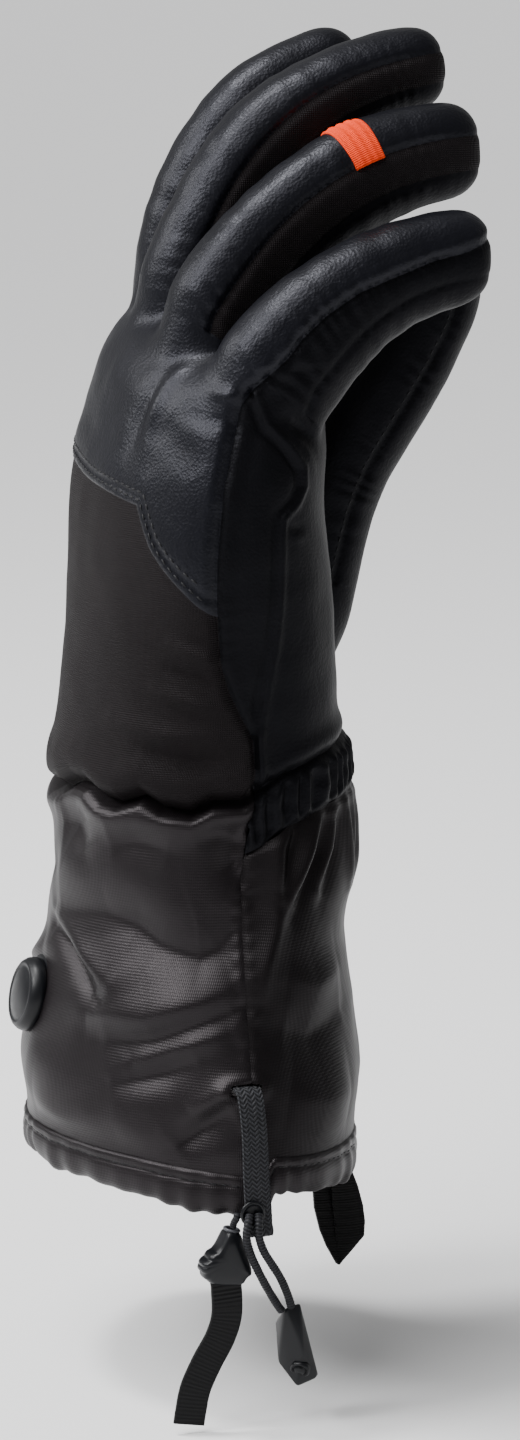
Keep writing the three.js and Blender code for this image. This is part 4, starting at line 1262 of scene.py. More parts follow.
# The cuff
# Where the hand ends and the cuff begins: turn about the wrist in degrees, and height
WRIST_LINE = [
    (-180, 119), (-172, 117), (-160, 114), (-148, 115.5), (-136, 112), (-124, 114.5),
    (-110, 111), (-94, 112.5), (-84, 116), (-74, 116.5), (-65, 113.5), (-57, 113),
    (-46, 116), (-38, 113), (-26, 112), (-18, 115), (-6.5, 115), (2.5, 118),
    (12, 122), (30, 125.5), (60, 128.5), (90, 129.5), (120, 128.5), (150, 125.5),
    (168, 122), (180, 119),
]


def wrist_line(turn):
    """The height at which the cuff begins at a turn"""
    return lerp_table(WRIST_LINE, (np.degrees(turn) + 180) % 360 - 180)


def cuff_sizes(height):
    """Half width, half depth, shift and roundness at a height"""
    half_w = read(CUFF_ROWS, 1, height) * HEM_HALF_WIDTH
    half_d = read(CUFF_ROWS, 2, height) * HEM_HALF_DEPTH
    shift = read(CUFF_ROWS, 3, height) * HEM_HALF_DEPTH
    return half_w, half_d, shift, read(CUFF_ROWS, 4, height)


def cuff_turn(x, y, height):
    """The turn about the cuff at which a place lies"""
    half_w, half_d, shift, power = cuff_sizes(height)
    c = np.sign(x) * np.abs(x / half_w) ** (power / 2)
    s = np.sign(y - shift) * np.abs((y - shift) / half_d) ** (power / 2)
    return np.arctan2(s, c)


def cuff_place(turn, z):
    """A place on the cuff's calm surface, with its way out"""
    height = z / CUFF_LENGTH

    def spot(turn):
        half_w, half_d, shift, power = cuff_sizes(height)
        across, deep = power_ring(turn, half_w, half_d, power)
        return across, shift + deep

    x, y = spot(turn)
    ax, ay = spot(turn - 0.02)
    bx, by = spot(turn + 0.02)
    out = np.stack([by - ay, ax - bx, 0 * x], -1)
    out /= np.linalg.norm(out, axis=-1, keepdims=True)
    degrees = (np.degrees(turn) + 180) % 360 - 180
    lift = lerp_table(HEM_LIFT, degrees) * HEM_HEIGHT * np.clip(1 - height / LIFT_REACH, 0, 1)
    return np.stack([x, y, z + lift + 0 * x], -1), out


def seam_turn(z):
    """The turn of the cuff's seam under the little finger at a height"""
    height = z / CUFF_LENGTH
    half_w, half_d, shift, power = cuff_sizes(height)
    s = (lerp_table(CUFF_SEAM, height) * HEM_HALF_DEPTH - shift) / half_d
    return np.arcsin(np.sign(s) * np.abs(s) ** (power / 2))


# Folds of the cuff: turn and height along each, width, height (negative is a valley)
CUFF_STROKES = [
    (
        [(-96, 108), (-88, 110), (-74, 111), (-60, 108), (-50, 109),
         (-38, 108.5), (-28, 108), (-10, 111), (1, 113)],
        4.2, 1.5,
    ),
    ([(-92, 103), (-80, 105), (-72, 96)], 4.5, -1.5),
    ([(-60, 101), (-48, 103), (-34, 101)], 3.2, -1.0),
    ([(-26, 104), (-16, 106), (-8, 103)], 2.2, -0.8),
    (
        [(-93, 79), (-62, 81), (-49, 78.5), (-40, 74),
         (-25, 71), (-18, 73.5), (-9, 80.5), (-2, 87)],
        5.4, -2.2,
    ),
    ([(-66, 53), (-49, 53.5), (-41, 54), (-24, 60), (-8, 65)], 5.5, 2.3),
    ([(-96, 73), (-79, 68), (-68, 62), (-60, 57)], 1.7, -2.0),
    ([(-96, 77), (-79, 72), (-66, 66), (-56, 62)], 2.6, 1.3),
    ([(-57, 46), (-40, 48.5), (-24, 54), (-10, 58)], 3.2, -1.5),
    ([(-47, 41), (-31, 47), (-13, 53)], 2.6, 1.2),
    ([(-52, 33.5), (-36, 39), (-24, 45)], 3.0, -1.2),
    ([(-7, 39), (-18, 35), (-28, 28)], 2.4, 1.3),
    ([(-13, 32), (-23, 25.5), (-33, 17.5)], 3.2, -1.7),
    ([(-1, 108), (-9, 104.5), (-11, 96.5), (-6, 88.5)], 2.6, -1.7),
    ([(6, 104), (7, 80), (2, 69.5), (-3, 57)], 1.7, 1.1),
    ([(14, 108), (8, 101), (8, 88)], 1.8, 1.2),
    ([(29, 110), (22, 102.5), (10, 83)], 2.0, 2.0),
    ([(37, 108), (33, 98), (27, 88)], 1.8, 1.2),
    ([(17, 110), (12, 100), (9, 86)], 1.5, -1.2),
    ([(31, 110), (27, 98), (15, 82)], 1.8, -1.6),
    ([(44, 110), (38, 97), (30, 84)], 2.0, -1.2),
    ([(10, 33), (27, 28), (46, 28)], 7.0, 1.6),
    ([(8, 52), (24, 48), (44, 52)], 4.0, -1.3),
    ([(10, 66), (26, 62), (46, 64)], 4.5, 1.2),
    ([(-88, 24), (-70, 20), (-50, 23), (-36, 20)], 5.0, 1.1),
    ([(-97, 90), (-112, 87), (-130, 82), (-150, 84), (-172, 92)], 3.6, -2.2),
    ([(-99, 66), (-116, 60), (-132, 56), (-152, 60), (-170, 66)], 3.4, 2.0),
    ([(-118, 52), (-136, 47), (-158, 52)], 3.2, -1.5),
    ([(-96, 107), (-112, 106), (-130, 108), (-150, 108), (-172, 110)], 2.8, 1.6),
    ([(-176, 104), (-170, 88), (-174, 72)], 2.2, 1.1),
    ([(-120, 30), (-140, 26), (-160, 31)], 4.5, -1.2),
    ([(60, 48), (90, 55), (130, 50), (165, 56)], 4.6, -0.8),
    ([(56, 64), (92, 70), (128, 64), (160, 70)], 4.6, 0.9),
    ([(70, 34), (110, 30), (150, 36)], 6.0, 1.4),
]
FOLD_GAIN = 2.0
FOLD_SPREAD = 1.5
GATHER_TURNS = [48, 57, 67, 74, 84, 93, 101, 112, 121, 131, 139, 149, 158, 167]


def cuff_folds():
    """The folds as places on the cuff: line, width, height"""
    folds = []
    for line, width, height in CUFF_STROKES:
        width, height = width * FOLD_SPREAD, height * FOLD_GAIN
        turns = np.radians([row[0] for row in line])
        spots = cuff_place(turns, np.array([float(row[1]) for row in line]))[0]
        folds.append((spots, width, height))
    local = np.random.default_rng(8)
    for turn in GATHER_TURNS:
        low = local.uniform(80, 94)
        lean = local.uniform(-5, 5)
        turns = np.radians([turn, turn + lean * 0.4, turn + lean])
        spots = cuff_place(turns, np.array([110, (110 + low) / 2, low]))[0]
        folds.append((spots, local.uniform(1.5, 2.2), local.uniform(0.9, 1.7)))
        away = cuff_place(turns + np.radians(4.5), np.array([110, (112 + low) / 2, low + 4]))[0]
        folds.append((away, 1.6, -local.uniform(0.8, 1.4)))
    return folds


def cuff_push(points, z, turn):
    """How far the folds push the cuff's surface out"""
    push = 0.4 * wave_noise(points, 34, seed=91) + 0.05 * wave_noise(points, 11, seed=92)
    for line, width, height in cuff_folds():
        distance, along = stroke_distance(points, line)
        total = np.linalg.norm(np.diff(line, axis=0), axis=1).sum()
        fade = np.sin(np.clip(along / total, 0.05, 0.95) * np.pi) ** 0.6
        push += height * crest(distance, width) * fade
    calm = step_up(z, HEM_HEIGHT - 1, HEM_HEIGHT + 8)
    return push * calm


def cuff_panel(name, material, low, high, turns, grid, extra, hole=None):
    """A panel of the cuff as a closed skin over a grid between two heights and two turns"""
    columns, rows = grid
    v = np.linspace(0, 1, rows)[:, None]
    u = np.linspace(0, 1, columns)[None, :]
    z = np.full((rows, columns), 60.0)
    for _ in range(4):
        first, last = turns(z)
        turn = first + (last - first) * u
        z = low(turn) + (high(turn) - low(turn)) * v
    flat_turn, flat_z = turn.ravel(), z.ravel()
    points, out = cuff_place(flat_turn, flat_z)
    arc = np.minimum(u, 1 - u).repeat(rows, 0).ravel() * np.abs(last - first).ravel() * 52
    push = extra(points, flat_z, flat_turn, arc)
    points = points + out * push[:, None]
    quads = grid_faces(rows, columns, False)
    tris = np.concatenate([quads[:, [0, 1, 2]], quads[:, [0, 2, 3]]])
    if hole is not None:
        middle = points[tris].mean(1)
        tris = tris[~hole(middle)]
    normals = normals_of(points, tris)
    if np.einsum("ij,ij->i", normals, out).mean() < 0:
        tris = tris[:, ::-1]
        normals = -normals
    piece = solid_skin(name + "_skin", points, normals, tris, CUFF_WALL, material)
    finish_piece(piece, [name])


# Columns and rows of the cuff's panels
PANEL_GRID = (200, 105)
STRIP_GRID = (260, 30)
HEM_COLUMNS = 440
SLIT_HEIGHT = 36.8
SLIT_MIDDLE = -6.6
SLIT_HALF_WIDTH = 4.2
SLIT_HALF_HEIGHT = 1.5


def in_slit(points):
    """The braid's slit, on the side of the little finger"""
    beside = np.abs(points[:, 1] - SLIT_MIDDLE) < SLIT_HALF_WIDTH
    level = np.abs(points[:, 2] - SLIT_HEIGHT) < SLIT_HALF_HEIGHT
    return (points[:, 0] > 0) & beside & level


def seam_dip(arc, along):
    """The sunken seam at a panel's side, with small puckers beside it"""
    pucker = 0.16 * np.sin(2 * np.pi * along / 5.3 + 2 * np.sin(along / 13))
    return -0.5 * bell(arc, 0.9) + (0.12 + pucker) * bell(arc - 2.4, 2.0)


def slit_lips(points):
    """The raised lips round the braid's slit"""
    near = np.hypot((points[:, 1] - SLIT_MIDDLE) / 6, (points[:, 2] - SLIT_HEIGHT) / 3.4)
    return np.where(points[:, 0] > 0, 0.9 * bell(near - 0.85, 0.35) - 0.5 * bell(near, 0.5), 0)


def cuff_back_push(points, z, turn, arc):
    """Folds, seams and slit of the back, tucked in under the hand"""
    over = z - wrist_line(turn)
    push = cuff_push(points, z, turn) * step_up(-over, -1, 3) + seam_dip(arc, z) + slit_lips(points)
    return push - 4.2 * bell(np.minimum(over - 0.6, 0), 2.4)


def cuff_front_push(points, z, turn, arc):
    """Folds, seams and slit of the palm side, sunken at the strip"""
    push = cuff_push(points, z, turn) + seam_dip(arc, z) + slit_lips(points)
    return push - 0.9 * bell(z - strip_foot(turn), 1.2)


def strip_push(points, z, turn, arc):
    """The elastic strip's gathers, sunken along both its edges"""
    over, under = z - wrist_line(turn), z - strip_foot(turn)
    way = np.degrees(turn) * 0.9
    jitter = np.sin(way / 7.3) + 0.6 * np.sin(way / 3.1 + 1)
    gathers = 0.85 * np.sin(2 * np.pi * way / 6.2 + 1.7 * jitter + 0.5 * np.sin(z / 3.4))
    mid = step_up(under, 0.5, 3) * step_up(-over, 1, 4)
    push = gathers * mid - 0.7 * bell(under, 0.9) - 2.6 * bell(np.minimum(over - 0.6, 0), 1.8)
    return push + 0.2 * wave_noise(points, 7, seed=96) - 0.9 * bell(arc, 1.2)


def cuff_foot(turn):
    """The lower edge of both cuff panels, inside the hem"""
    return 0 * turn + HEM_HEIGHT - 1.2


def cuff_top(turn):
    """The upper edge of the cuff, just inside the hand"""
    return wrist_line(turn) + 1.6


def strip_foot(turn):
    """The elastic strip's lower edge"""
    return wrist_line(turn) - STRIP_HEIGHT


def front_top(turn):
    """The upper edge of the palm side's panel"""
    return strip_foot(turn) + 0.3


def back_turns(z):
    """Where the back panel begins and ends round the cuff"""
    return -np.pi - seam_turn(z), seam_turn(z)


def front_turns(z):
    """Where the palm side's panel begins and ends round the cuff"""
    return seam_turn(z), np.pi - seam_turn(z)


def make_cuff(materials):
    """The cuff's two panels, its elastic strip and its hem"""
    cuff_panel(
        "cuff_back", materials["shell"], cuff_foot, cuff_top, back_turns,
        PANEL_GRID, cuff_back_push, in_slit,
    )
    # The palm side's panel takes the darker shell copy, which paints shade on it
    cuff_panel(
        "cuff_front", materials["shell_painted_shade"], cuff_foot, front_top, front_turns,
        PANEL_GRID, cuff_front_push, in_slit,
    )
    # The wrist strip on the palm side takes the darker leather copy: painted shade
    cuff_panel(
        "wrist_elastic", materials["side_leather"], strip_foot, cuff_top, front_turns,
        STRIP_GRID, strip_push,
    )
    make_hem(materials)


# The hem band's section: height, and how far out of the cuff's surface
HEM_PROFILE = [
    (12.4, -1.8), (12.7, -0.6), (12.4, 0.4), (11.6, 0.9), (10.6, 1.0), (9.9, 0.8), (9.4, 0.5),
    (8.9, 0.8), (8, 1.1), (6.5, 1.3), (4.5, 1.35), (2.8, 1.25), (1.5, 1.0), (0.6, 0.5),
    (0.1, -0.3), (0.1, -1.1), (0.7, -1.9), (2, -2.3), (5, -2.4), (9, -2.4), (12, -2.3),
]
HEM_GROOVE = (9.4, 0.5)


def make_hem(materials):
    """The gathered hem band, and the stitches in its groove"""
    columns = HEM_COLUMNS
    turn = np.linspace(-np.pi, np.pi, columns, endpoint=False)
    local = np.random.default_rng(17)
    waves = [(local.integers(22, 58), local.uniform(0, 6.28), local.uniform(0.4, 1)) for _ in range(5)]
    pucker = sum(a * np.sin(k * turn + phase) for k, phase, a in waves) / 1.6
    broad = np.sin(9 * turn + 1) * 0.5 + np.sin(14 * turn + 2) * 0.5
    rings = []
    for z, push in HEM_PROFILE:
        lower = 1 - z / 13
        place, out = cuff_place(turn, np.full(columns, float(z)))
        outside = 1 if push > -1.5 else 0.4
        amount = (0.10 + 0.24 * lower) * pucker + 0.45 * broad * lower
        point = place + out * (push + outside * amount)[:, None]
        point[:, 2] -= lower ** 2 * (0.28 * pucker + 0.6 * broad)
        rings.append(point)
    rings = np.array(rings)
    points = rings.reshape(-1, 3)
    faces = []
    for row in range(len(rings)):
        here, following = row * columns, (row + 1) % len(rings) * columns
        for column in range(columns):
            after = (column + 1) % columns
            faces.append((here + column, following + column, following + after, here + after))
    line = rings[HEM_PROFILE.index(HEM_GROOVE)]
    out = cuff_place(turn, np.full(columns, HEM_GROOVE[0]))[1]
    closed = np.concatenate([np.concatenate([line, out], 1), np.concatenate([line[:1], out[:1]], 1)])
    make_stitches("hem_stitches", [closed], materials["thread"])
    piece = new_object("cuff_hem_band", points, faces, materials["shell"])
    finish_piece(piece, ["cuff_hem"])


# Straps, cords and fittings
def smooth_path(rows, step):
    """A rounded course through rows of numbers, at even steps in its first three"""
    rows = np.asarray(rows, float)
    padded = np.concatenate([[2 * rows[0] - rows[1]], rows, [2 * rows[-1] - rows[-2]]])
    fine = []
    for k in range(1, len(padded) - 2):
        a, b, c, d = padded[k - 1:k + 3]
        for t in np.linspace(0, 1, 24, endpoint=False):
            bend = (2 * a - 5 * b + 4 * c - d) * t * t + (3 * b - a - 3 * c + d) * t ** 3
            fine.append(0.5 * (2 * b + (c - a) * t + bend))
    fine.append(rows[-1])
    fine = np.array(fine)
    gaps = np.linalg.norm(np.diff(fine[:, :3], axis=0), axis=1)
    along = np.concatenate([[0], np.cumsum(gaps)])
    count = max(int(along[-1] / step), 4)
    at = np.linspace(0, along[-1], count)
    course = np.stack([np.interp(at, along, fine[:, k]) for k in range(fine.shape[1])], -1)
    return course, at


def sweep(name, course, at, section, material):
    """A closed form along a course: section gives across and out at each place along"""
    centre = course[:, :3]
    ahead = np.gradient(centre, axis=0)
    ahead /= np.linalg.norm(ahead, axis=1, keepdims=True)
    turn = np.radians(course[:, 3])
    across = np.stack([np.cos(turn), np.sin(turn), 0 * turn], -1)
    across -= ahead * np.einsum("ij,ij->i", across, ahead)[:, None]
    across /= np.linalg.norm(across, axis=1, keepdims=True)
    out = np.cross(ahead, across)
    rings, wide, long = [], [], []
    for k in range(len(centre)):
        a, b = section(at[k], at[-1])
        rings.append(centre[k] + np.outer(a, across[k]) + np.outer(b, out[k]))
        wide.append(a)
        long.append(np.full(len(a), at[k]))
    points, faces = tube_loft(rings)
    piece = new_object(name, points, faces, material)
    wide = np.concatenate([np.concatenate(wide), [0, 0]])
    long = np.concatenate([np.concatenate(long), [0, at[-1]]])
    set_attribute(piece, "across", wide * MM)
    set_attribute(piece, "along", long * MM)
    return piece


def band_section(width, thick, face, sides=36):
    """A flat strap's section with rounded edges; face adds to both faces by place"""
    turn = 2 * np.pi * (np.arange(sides) + 0.5) / sides
    a, b = power_ring(turn, width / 2, thick / 2, 5)

    def section(at, total):
        grown = b + np.sign(b) * face(a / (width / 2), at, total) * (np.abs(a) < width * 0.49)
        return a, grown

    return section


def round_section(radius, sides=16):
    """A round cord's section with a braided surface"""
    turn = 2 * np.pi * np.arange(sides) / sides

    def section(at, total):
        twist = 2 * np.pi * at / 1.1
        wave = 1 + 0.05 * np.sin(twist + 2 * turn) + 0.05 * np.sin(twist - 2 * turn)
        return radius * np.cos(turn) * wave, radius * np.sin(turn) * wave

    return section


CORD_ROUTES = {
    "drawcord_a": [
        (73.3, -8.8, 3.4), (74.6, -9.6, 1.6), (74.8, -10.2, -1.5), (74.4, -9.6, -5), (73.6, -7.6, -10),
        (72.5, -5, -15), (70.8, -2, -20), (69, 1, -24.6), (68, 2.6, -26.7),
    ],
    "drawcord_b": [
        (73.3, -6.1, 3.4), (74.8, -6.6, 1.4), (75, -6.7, -2), (74.5, -5.2, -6.5), (73.6, -2.7, -10.6),
        (72.5, 0, -14.6), (71.4, 2.2, -18.6), (70.2, 4, -22.6), (69.4, 5.1, -25.6),
    ],
}
LINK_ROUTE = [
    (70.4, -11.3, 3.4), (70.2, -11.5, 2), (69, -11.8, 0.5), (68.2, -11.9, -1.1),
]
TAB_ROUTE = [
    (67, -13.7, -16.2, 90), (67, -13.4, -18.9, 90), (67, -13.3, -26.6, 90), (67, -15.3, -33, 90),
    (67, -19.2, -39.8, 88), (67, -22.6, -47, 86), (67, -24, -53.5, 86), (67, -24.6, -57.2, 86),
]
# The ribbon's two strands: height, near edge, far edge, place across
RIBBON_LEFT = [
    (8, 37.6, 41.5, -3), (0, 38, 42, -3), (-5, 38.6, 39.8, -2.8), (-9, 38.7, 40.4, -2.6),
    (-15, 39, 45.6, -2.4), (-20, 39.3, 47.4, -2.2), (-27, 41, 48, -2), (-32, 43, 48, -1.9),
    (-38, 46.3, 46.9, -1.8),
]
RIBBON_RIGHT = [
    (8, 37.8, 41.3, -4), (2, 38, 42.4, -3.4), (-3, 41, 46, -2.2), (-8, 43.8, 50.2, -1.2),
    (-14, 44, 52.4, -0.7), (-20, 44.5, 54, -0.6), (-25, 45, 54.7, -0.7), (-29.6, 45.5, 54.5, -0.9),
    (-34, 46, 50.6, -1.3), (-38, 46.4, 47, -1.8),
]
BRAID_ROUTE = [
    (61.4, -6.6, 37.2, 90), (67.4, -6.6, 36.1, 90), (70.7, -6.4, 26.3, 90), (71.35, -6.1, 12, 90),
    (71.35, -5.4, 2, 90), (71.2, -4.7, -2.2, 90), (70.5, -4.6, -3.2, 90), (69.8, -4.5, -2.2, 90),
    (69.75, -4.6, 2, 90), (69.75, -5.2, 12, 90), (69.2, -5.6, 22, 90),
]
LOCK_OUTLINE = [
    (-13.6, -1.8), (-10.1, -2.1), (-8.6, -6), (-6, -15), (-8, -15.9), (-9.2, -18.1),
    (-18.4, -17.1), (-20.4, -14.3), (-21.3, -11.4), (-18.4, -8.5), (-16.3, -6.7), (-14.5, -3.4),
]
# The toggle's corners: eleven seen, from its upper edge round to the ridge, and six behind
TOGGLE_CORNERS = [
    (63.0, 2.6, -31.6),
    (68.7, 3.2, -26.2),
    (61.5, 5.8, -28.9),
    (70.4, 7.3, -24.4),
    (64.0, 9.4, -26.8),
    (71.2, 6.7, -28.8),
    (67.0, 11.6, -35.2),
    (69.8, 13.3, -46.9),
    (69.9, 6.6, -49.0),
    (65.6, 2.5, -42.6),
    (72.9, 7.3, -37.9),
    (59.3, 4.8, -33.6),
    (60.4, 10.1, -29.1),
    (62.8, 12.6, -36.9),
    (65.1, 13.8, -46.9),
    (63.9, 9.2, -49.7),
    (61.3, 5.0, -43.6),
]
TOGGLE_BEVEL = 0.7
# The pin's place, and the corners that its face goes through
PIN_PLACE = (70.8, 7.2, -43.8)
PIN_FACE = (7, 9, 10)
PIN_PROFILE = [
    (0.1, -1.5), (2.7, -1.5), (2.8, 0.2), (2.5, 0.4), (2.1, 0.2), (1.9, -0.3),
    (1.6, -0.2), (1.5, 0.5), (1.1, 0.8), (0.1, 0.9),
]
LINK_RADIUS = 1.0
BRAID_WIDTH = 7.4
BRAID_THICK = 1.25
TAB_WIDTH = 9
TAB_THICK = 1.4
LOCK_MIDDLE = 67
LOCK_THICK = 8
RIM_PLACE = (67.4, -11.9, -1.9)
RIM_RADIUS = 1.7
RIM_THICK = 0.45
RIM_AXIS = (0.1, 0.15, 1)
EYELET_PLACE = (72.3, -7.5, 3.5)
EYELET_PROFILE = [
    (2.0, 0), (3.6, 0), (3.7, 0.15), (3.6, 0.5), (3.3, 0.75), (2.95, 0.8), (2.8, 0.6), (2.0, 0.3),
]
BUTTON_TILT = 13
BUTTON_PLACE = (-8, -44.4, 50.7)
FLANGE_PROFILE = [
    (0.1, -3.5), (12.4, -3.5), (12.5, -0.3), (12.2, 0.5), (11.6, 1.0), (10.9, 1.2), (0.1, 1.2),
]
DOME_PROFILE = [
    (0.1, 1.3), (10.4, 1.3), (10.8, 1.8), (10.85, 3.0), (10.5, 4.3), (9.7, 5.4), (8.9, 5.9),
    (8.4, 5.8), (7.9, 5.6), (7.2, 5.9), (5.5, 6.35), (3.0, 6.7), (0.1, 6.8),
]


def make_cords(materials):
    """Each drawcord as long as its route, from the eyelet to the toggle"""
    cords = {}
    for name, route in CORD_ROUTES.items():
        course, at = smooth_path([(*place, 0) for place in route], 0.5)
        piece = sweep(name + "_line", course, at, round_section(CORD_DIAMETER / 2), materials["cord"])
        cords[name] = (piece, course, at)
    return cords


def declare_cords(cords):
    """Fixes each drawcord to the glove and hides its solid, once its toggle is there"""
    for name, (piece, course, at) in cords.items():
        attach(piece, "root")
        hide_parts(name)


def pillow(name, outline, middle, thick, power, material, relief=None):
    """An outline in Y and Z swelled out along X about its own middle"""
    outline = np.asarray(outline, float)
    centre = outline.mean(0)
    rings = []
    for share in np.linspace(-1, 1, 21):
        shrink = 0.5 + 0.5 * (1 - abs(share) ** power) ** (1 / power)
        flat = centre + (outline - centre) * shrink
        if relief is not None:
            away = flat - centre
            away /= np.linalg.norm(away, axis=1, keepdims=True)
            flat = flat + away * relief(outline)[:, None] * shrink
        rings.append(np.stack([np.full(len(flat), middle + share * thick / 2), flat[:, 0], flat[:, 1]], -1))
    points, faces = tube_loft(rings)
    return new_object(name, points, faces, material)


def round_outline(outline, rounds=4):
    """An outline with its corners cut round"""
    points = np.asarray(outline, float)
    for _ in range(rounds):
        following = np.roll(points, -1, 0)
        pair = [0.78 * points + 0.22 * following, 0.22 * points + 0.78 * following]
        points = np.stack(pair, 1).reshape(-1, 2)
    return points


def facet_block(name, corners, material, bevel):
    """A faceted block round its corners, with softened edges"""
    mesh = bpy.data.meshes.new(name)
    form = bmesh.new()
    for corner in corners:
        form.verts.new([value * MM for value in corner])
    result = bmesh.ops.convex_hull(form, input=form.verts)
    loose = {item for item in result["geom_interior"] if isinstance(item, bmesh.types.BMVert)}
    bmesh.ops.delete(form, geom=list(loose), context="VERTS")
    bmesh.ops.dissolve_limit(form, angle_limit=math.radians(9), verts=form.verts, edges=form.edges)
    bmesh.ops.bevel(form, geom=form.edges[:], offset=bevel * MM, segments=3, profile=0.5, affect="EDGES")
    bmesh.ops.recalc_face_normals(form, faces=form.faces)
    form.to_mesh(mesh)
    form.free()
    mesh.polygons.foreach_set("use_smooth", [True] * len(mesh.polygons))
    mesh.set_sharp_from_angle(angle=math.radians(40))
    mesh.materials.append(material)
    piece = bpy.data.objects.new(name, mesh)
    bpy.context.scene.collection.objects.link(piece)
    return piece


def lathe(name, profile, place, axis, material, sides=72):
    """A round form about an axis: the profile gives radius and height"""
    axis = Vector(axis).normalized()
    side = axis.orthogonal().normalized()
    other = axis.cross(side)
    turn = 2 * np.pi * np.arange(sides) / sides
    rings = []
    for radius, height in profile:
        middle = Vector(place) + axis * height
        rings.append([tuple(middle + (side * math.cos(t) + other * math.sin(t)) * radius) for t in turn])
    points, faces = tube_loft(rings)
    return new_object(name, points, faces, material)


def ring_form(name, place, axis, radius, rim, material, stretch=1.0):
    """A closed ring of round section"""
    axis = Vector(axis).normalized()
    side = axis.orthogonal().normalized()
    other = axis.cross(side)
    turns, sides = 48, 14
    points = []
    for k in range(turns):
        t = 2 * math.pi * k / turns
        out = side * math.cos(t) * stretch + other * math.sin(t)
        for j in range(sides):
            a = 2 * math.pi * j / sides
            points.append(Vector(place) + out * (radius + rim * math.cos(a)) + axis * rim * math.sin(a))
    faces = []
    for k in range(turns):
        for j in range(sides):
            a, b = k * sides + j, k * sides + (j + 1) % sides
            c, d = ((k + 1) % turns) * sides + (j + 1) % sides, ((k + 1) % turns) * sides + j
            faces.append((a, b, c, d))
    return new_object(name, [tuple(point) for point in points], faces, material)


def make_ribbon(materials):
    """The folded ribbon: two ribbed strands that meet in a point"""
    pieces = []
    for strand in (RIBBON_LEFT, RIBBON_RIGHT):
        heights = np.arange(strand[0][0], strand[-1][0], -0.29)
        table = np.array(strand)
        near, far, across = (np.interp(-heights, -table[:, 0], table[:, k]) for k in (1, 2, 3))
        rings = []
        for z, a, b, x in zip(heights, near, far, across):
            u = np.concatenate([np.linspace(-1, 1, 15), np.linspace(1, -1, 15)])
            side = np.concatenate([np.ones(15), -np.ones(15)])
            thick = 0.5 + 0.12 * abs(math.sin(math.pi * z / 1.15)) + 0.1 * (np.abs(u) > 0.85)
            y = (a + b) / 2 + u * (b - a) / 2
            rings.append(np.stack([x + side * thick - 0.05 * (u * 4) ** 2, y, np.full(30, z)], -1))
        pieces.append(tube_loft(rings))
    shift = len(pieces[0][0])
    points = np.concatenate([pieces[0][0], pieces[1][0]])
    faces = pieces[0][1] + [tuple(v + shift for v in face) for face in pieces[1][1]]
    piece = new_object("hanging_ribbon", points, faces, materials["grosgrain"])
    set_attribute(piece, "along", points[:, 2] * MM)
    set_attribute(piece, "across", points[:, 1] * MM)
    finish_piece(piece, ["hanging_loop"])


def make_braid(materials):
    """The flat elastic out of the slit, with its eyelet"""
    def face(a, at, total):
        zigzag = np.abs(((a * 1.5 + 0.5) % 1) - 0.5)
        return 0.16 * np.cos(3 * np.pi * a) ** 2 + 0.07 * np.sin(2 * np.pi * (at + 0.9 * zigzag) / 1.3)

    course, at = smooth_path(BRAID_ROUTE, 0.3)
    section = band_section(BRAID_WIDTH, BRAID_THICK, face, 60)
    piece = sweep("elastic_braid", course, at, section, materials["braid"])
    finish_piece(piece, ["elastic_loop"])
    piece = lathe("eyelet_ring", EYELET_PROFILE, EYELET_PLACE, (1, 0, 0), materials["plastic"])
    finish_piece(piece, ["eyelet"])


def make_lock(materials):
    """The cord lock on its link, with its rim and pull tab"""
    course, at = smooth_path([(*place, 0) for place in LINK_ROUTE], 0.4)
    piece = sweep("lock_link_line", course, at, round_section(LINK_RADIUS), materials["cord"])
    finish_piece(piece, ["lock_link"])

    def grips(outline):
        y, z = outline[:, 0], outline[:, 1]
        left = (y < -15.5) & (z < -7.5) & (z > -15.5)
        return np.where(left, 0.45 * np.abs(np.sin(np.pi * (z + 7.5) / 2.0)), 0)

    outline = round_outline(LOCK_OUTLINE)
    piece = pillow("cord_lock_body", outline, LOCK_MIDDLE, LOCK_THICK, 3.2, materials["plastic"], grips)
    finish_piece(piece, ["cord_lock"])
    # The rim's lighter plastic paints a glint round the lock's opening
    piece = ring_form("cord_lock_rim", RIM_PLACE, RIM_AXIS, RIM_RADIUS, RIM_THICK, materials["rim"], 1.2)
    finish_piece(piece, [])

    def face(a, at, total):
        gathers = 0.24 * np.clip(1 - at / 12, 0, 1) ** 0.6 * np.abs(np.sin(np.pi * at / 1.3))
        return gathers + 0.02 * np.sin(2 * np.pi * at / 0.8) + 0.09 * (np.abs(a) > 0.84)

    course, at = smooth_path(TAB_ROUTE, 0.25)
    piece = sweep("pull_tab_tape", course, at, band_section(TAB_WIDTH, TAB_THICK, face), materials["webbing"])
    finish_piece(piece, ["pull_tab"])


def make_toggle(materials):
    """The faceted toggle at the drawcords' end, with the pin in its lower face"""
    toggle = facet_block("toggle_body", TOGGLE_CORNERS, materials["plastic"], TOGGLE_BEVEL)
    finish_piece(toggle, ["cord_end"])
    far, low, near = (Vector(TOGGLE_CORNERS[k]) for k in PIN_FACE)
    face = (far - near).cross(low - near).normalized()
    if face.z > 0:
        face = -face
    pin = lathe("toggle_pin", PIN_PROFILE, PIN_PLACE, face, materials["plastic"], 40)
    finish_piece(pin, [])
    return toggle


def make_button(materials):
    """The soft switch: a flange on the cuff and a dome with a moulded ring"""
    tilt = math.radians(BUTTON_TILT)
    axis = (0, -math.cos(tilt), math.sin(tilt))
    for name, profile, node in (
        ("button_flange", FLANGE_PROFILE, "button_base"),
        ("button_dome", DOME_PROFILE, "heat_button"),
    ):
        piece = lathe(name, profile, BUTTON_PLACE, axis, materials["rubber"])
        finish_piece(piece, [node])


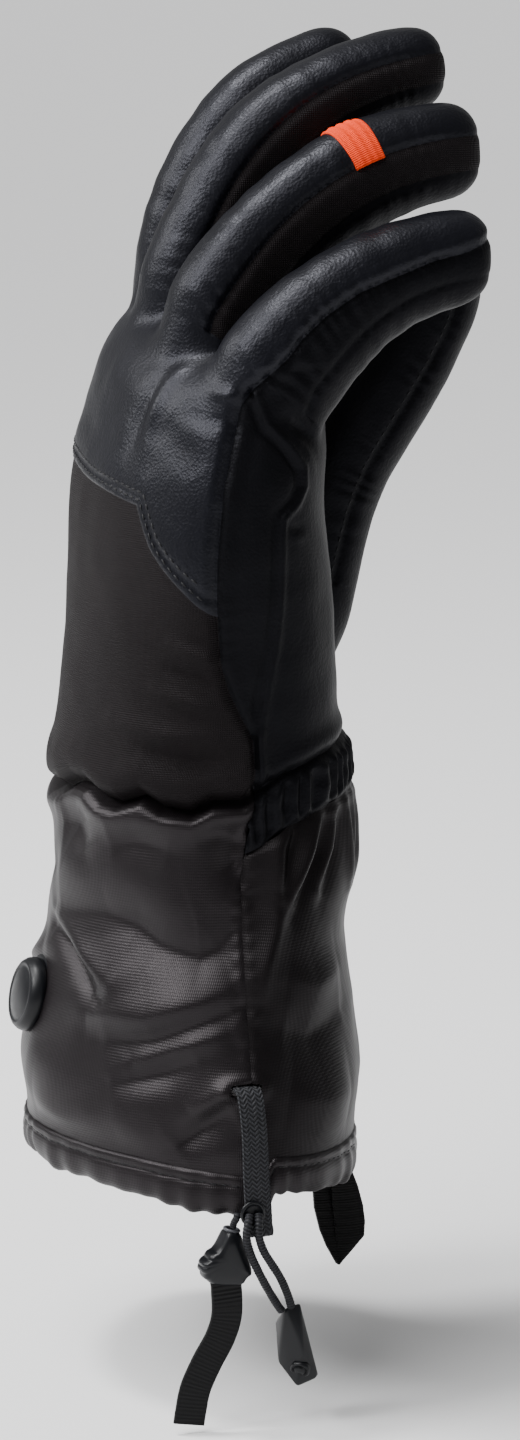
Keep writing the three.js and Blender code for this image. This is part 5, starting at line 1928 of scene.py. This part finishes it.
def make_hardware(materials):
    """Makes the straps and fittings, and gives back the toggle"""
    make_braid(materials)
    make_lock(materials)
    make_ribbon(materials)
    toggle = make_toggle(materials)
    make_button(materials)
    return toggle


BAND_PLACE = 0.62
BAND_WIDTH = 8.5


def make_band(digits, materials):
    """The orange elastic over the back of the ring finger"""
    digit = digits["ring"]
    columns, rows = 60, 26
    first = math.asin(BACK_SEAM ** (PAD_ROUND / 2)) - 0.04
    turn = np.linspace(first, math.pi - first, columns)
    places = BAND_PLACE * digit.length + np.linspace(-BAND_WIDTH / 2, BAND_WIDTH / 2, rows)
    outer, inner = [], []
    for row, along in enumerate(places):
        y, z, lean, deep, wide = digit.station(along / digit.length)
        edge = abs(row / (rows - 1) * 2 - 1)
        rib = 0.2 * np.cos(2 * np.pi * 4 * row / (rows - 1)) + 0.03 * np.sin(turn * 90)
        for ring, grow in ((outer, 0.9 + rib - 0.5 * edge ** 8), (inner, -1.2)):
            a, b = power_ring(turn, wide + grow, deep + grow, PAD_ROUND)
            ring.append(np.stack([digit.x + a, y - b * math.cos(lean), z + b * math.sin(lean)], -1))
    outer, inner = np.array(outer), np.array(inner)[::-1]
    rings = np.concatenate([outer, inner])
    points = rings.reshape(-1, 3)
    total = len(rings)
    faces = []
    for row in range(total):
        following = (row + 1) % total
        for column in range(columns - 1):
            a = row * columns + column
            b = following * columns + column
            faces.append((a, a + 1, b + 1, b))
    for row in range(rows - 1):
        for column in (0, columns - 1):
            a, b = row * columns + column, (row + 1) * columns + column
            c, d = (total - 2 - row) * columns + column, (total - 1 - row) * columns + column
            faces.append((a, b, c, d) if column == 0 else (d, c, b, a))
    piece = new_object("finger_band_elastic", points, faces, materials["orange"])
    piece.data.validate()
    arc = np.tile(np.linspace(0, 40, columns), total)
    set_attribute(piece, "along", arc * MM)
    set_attribute(piece, "across", 0 * arc)
    finish_piece(piece, ["finger_band"])


make_camera()
MATERIALS = make_materials()
CORDS = make_cords(MATERIALS)
TOGGLE = make_hardware(MATERIALS)
declare_cords(CORDS)
make_stage()
DIGITS = hand_pieces(MATERIALS)
make_band(DIGITS, MATERIALS)
make_cuff(MATERIALS)
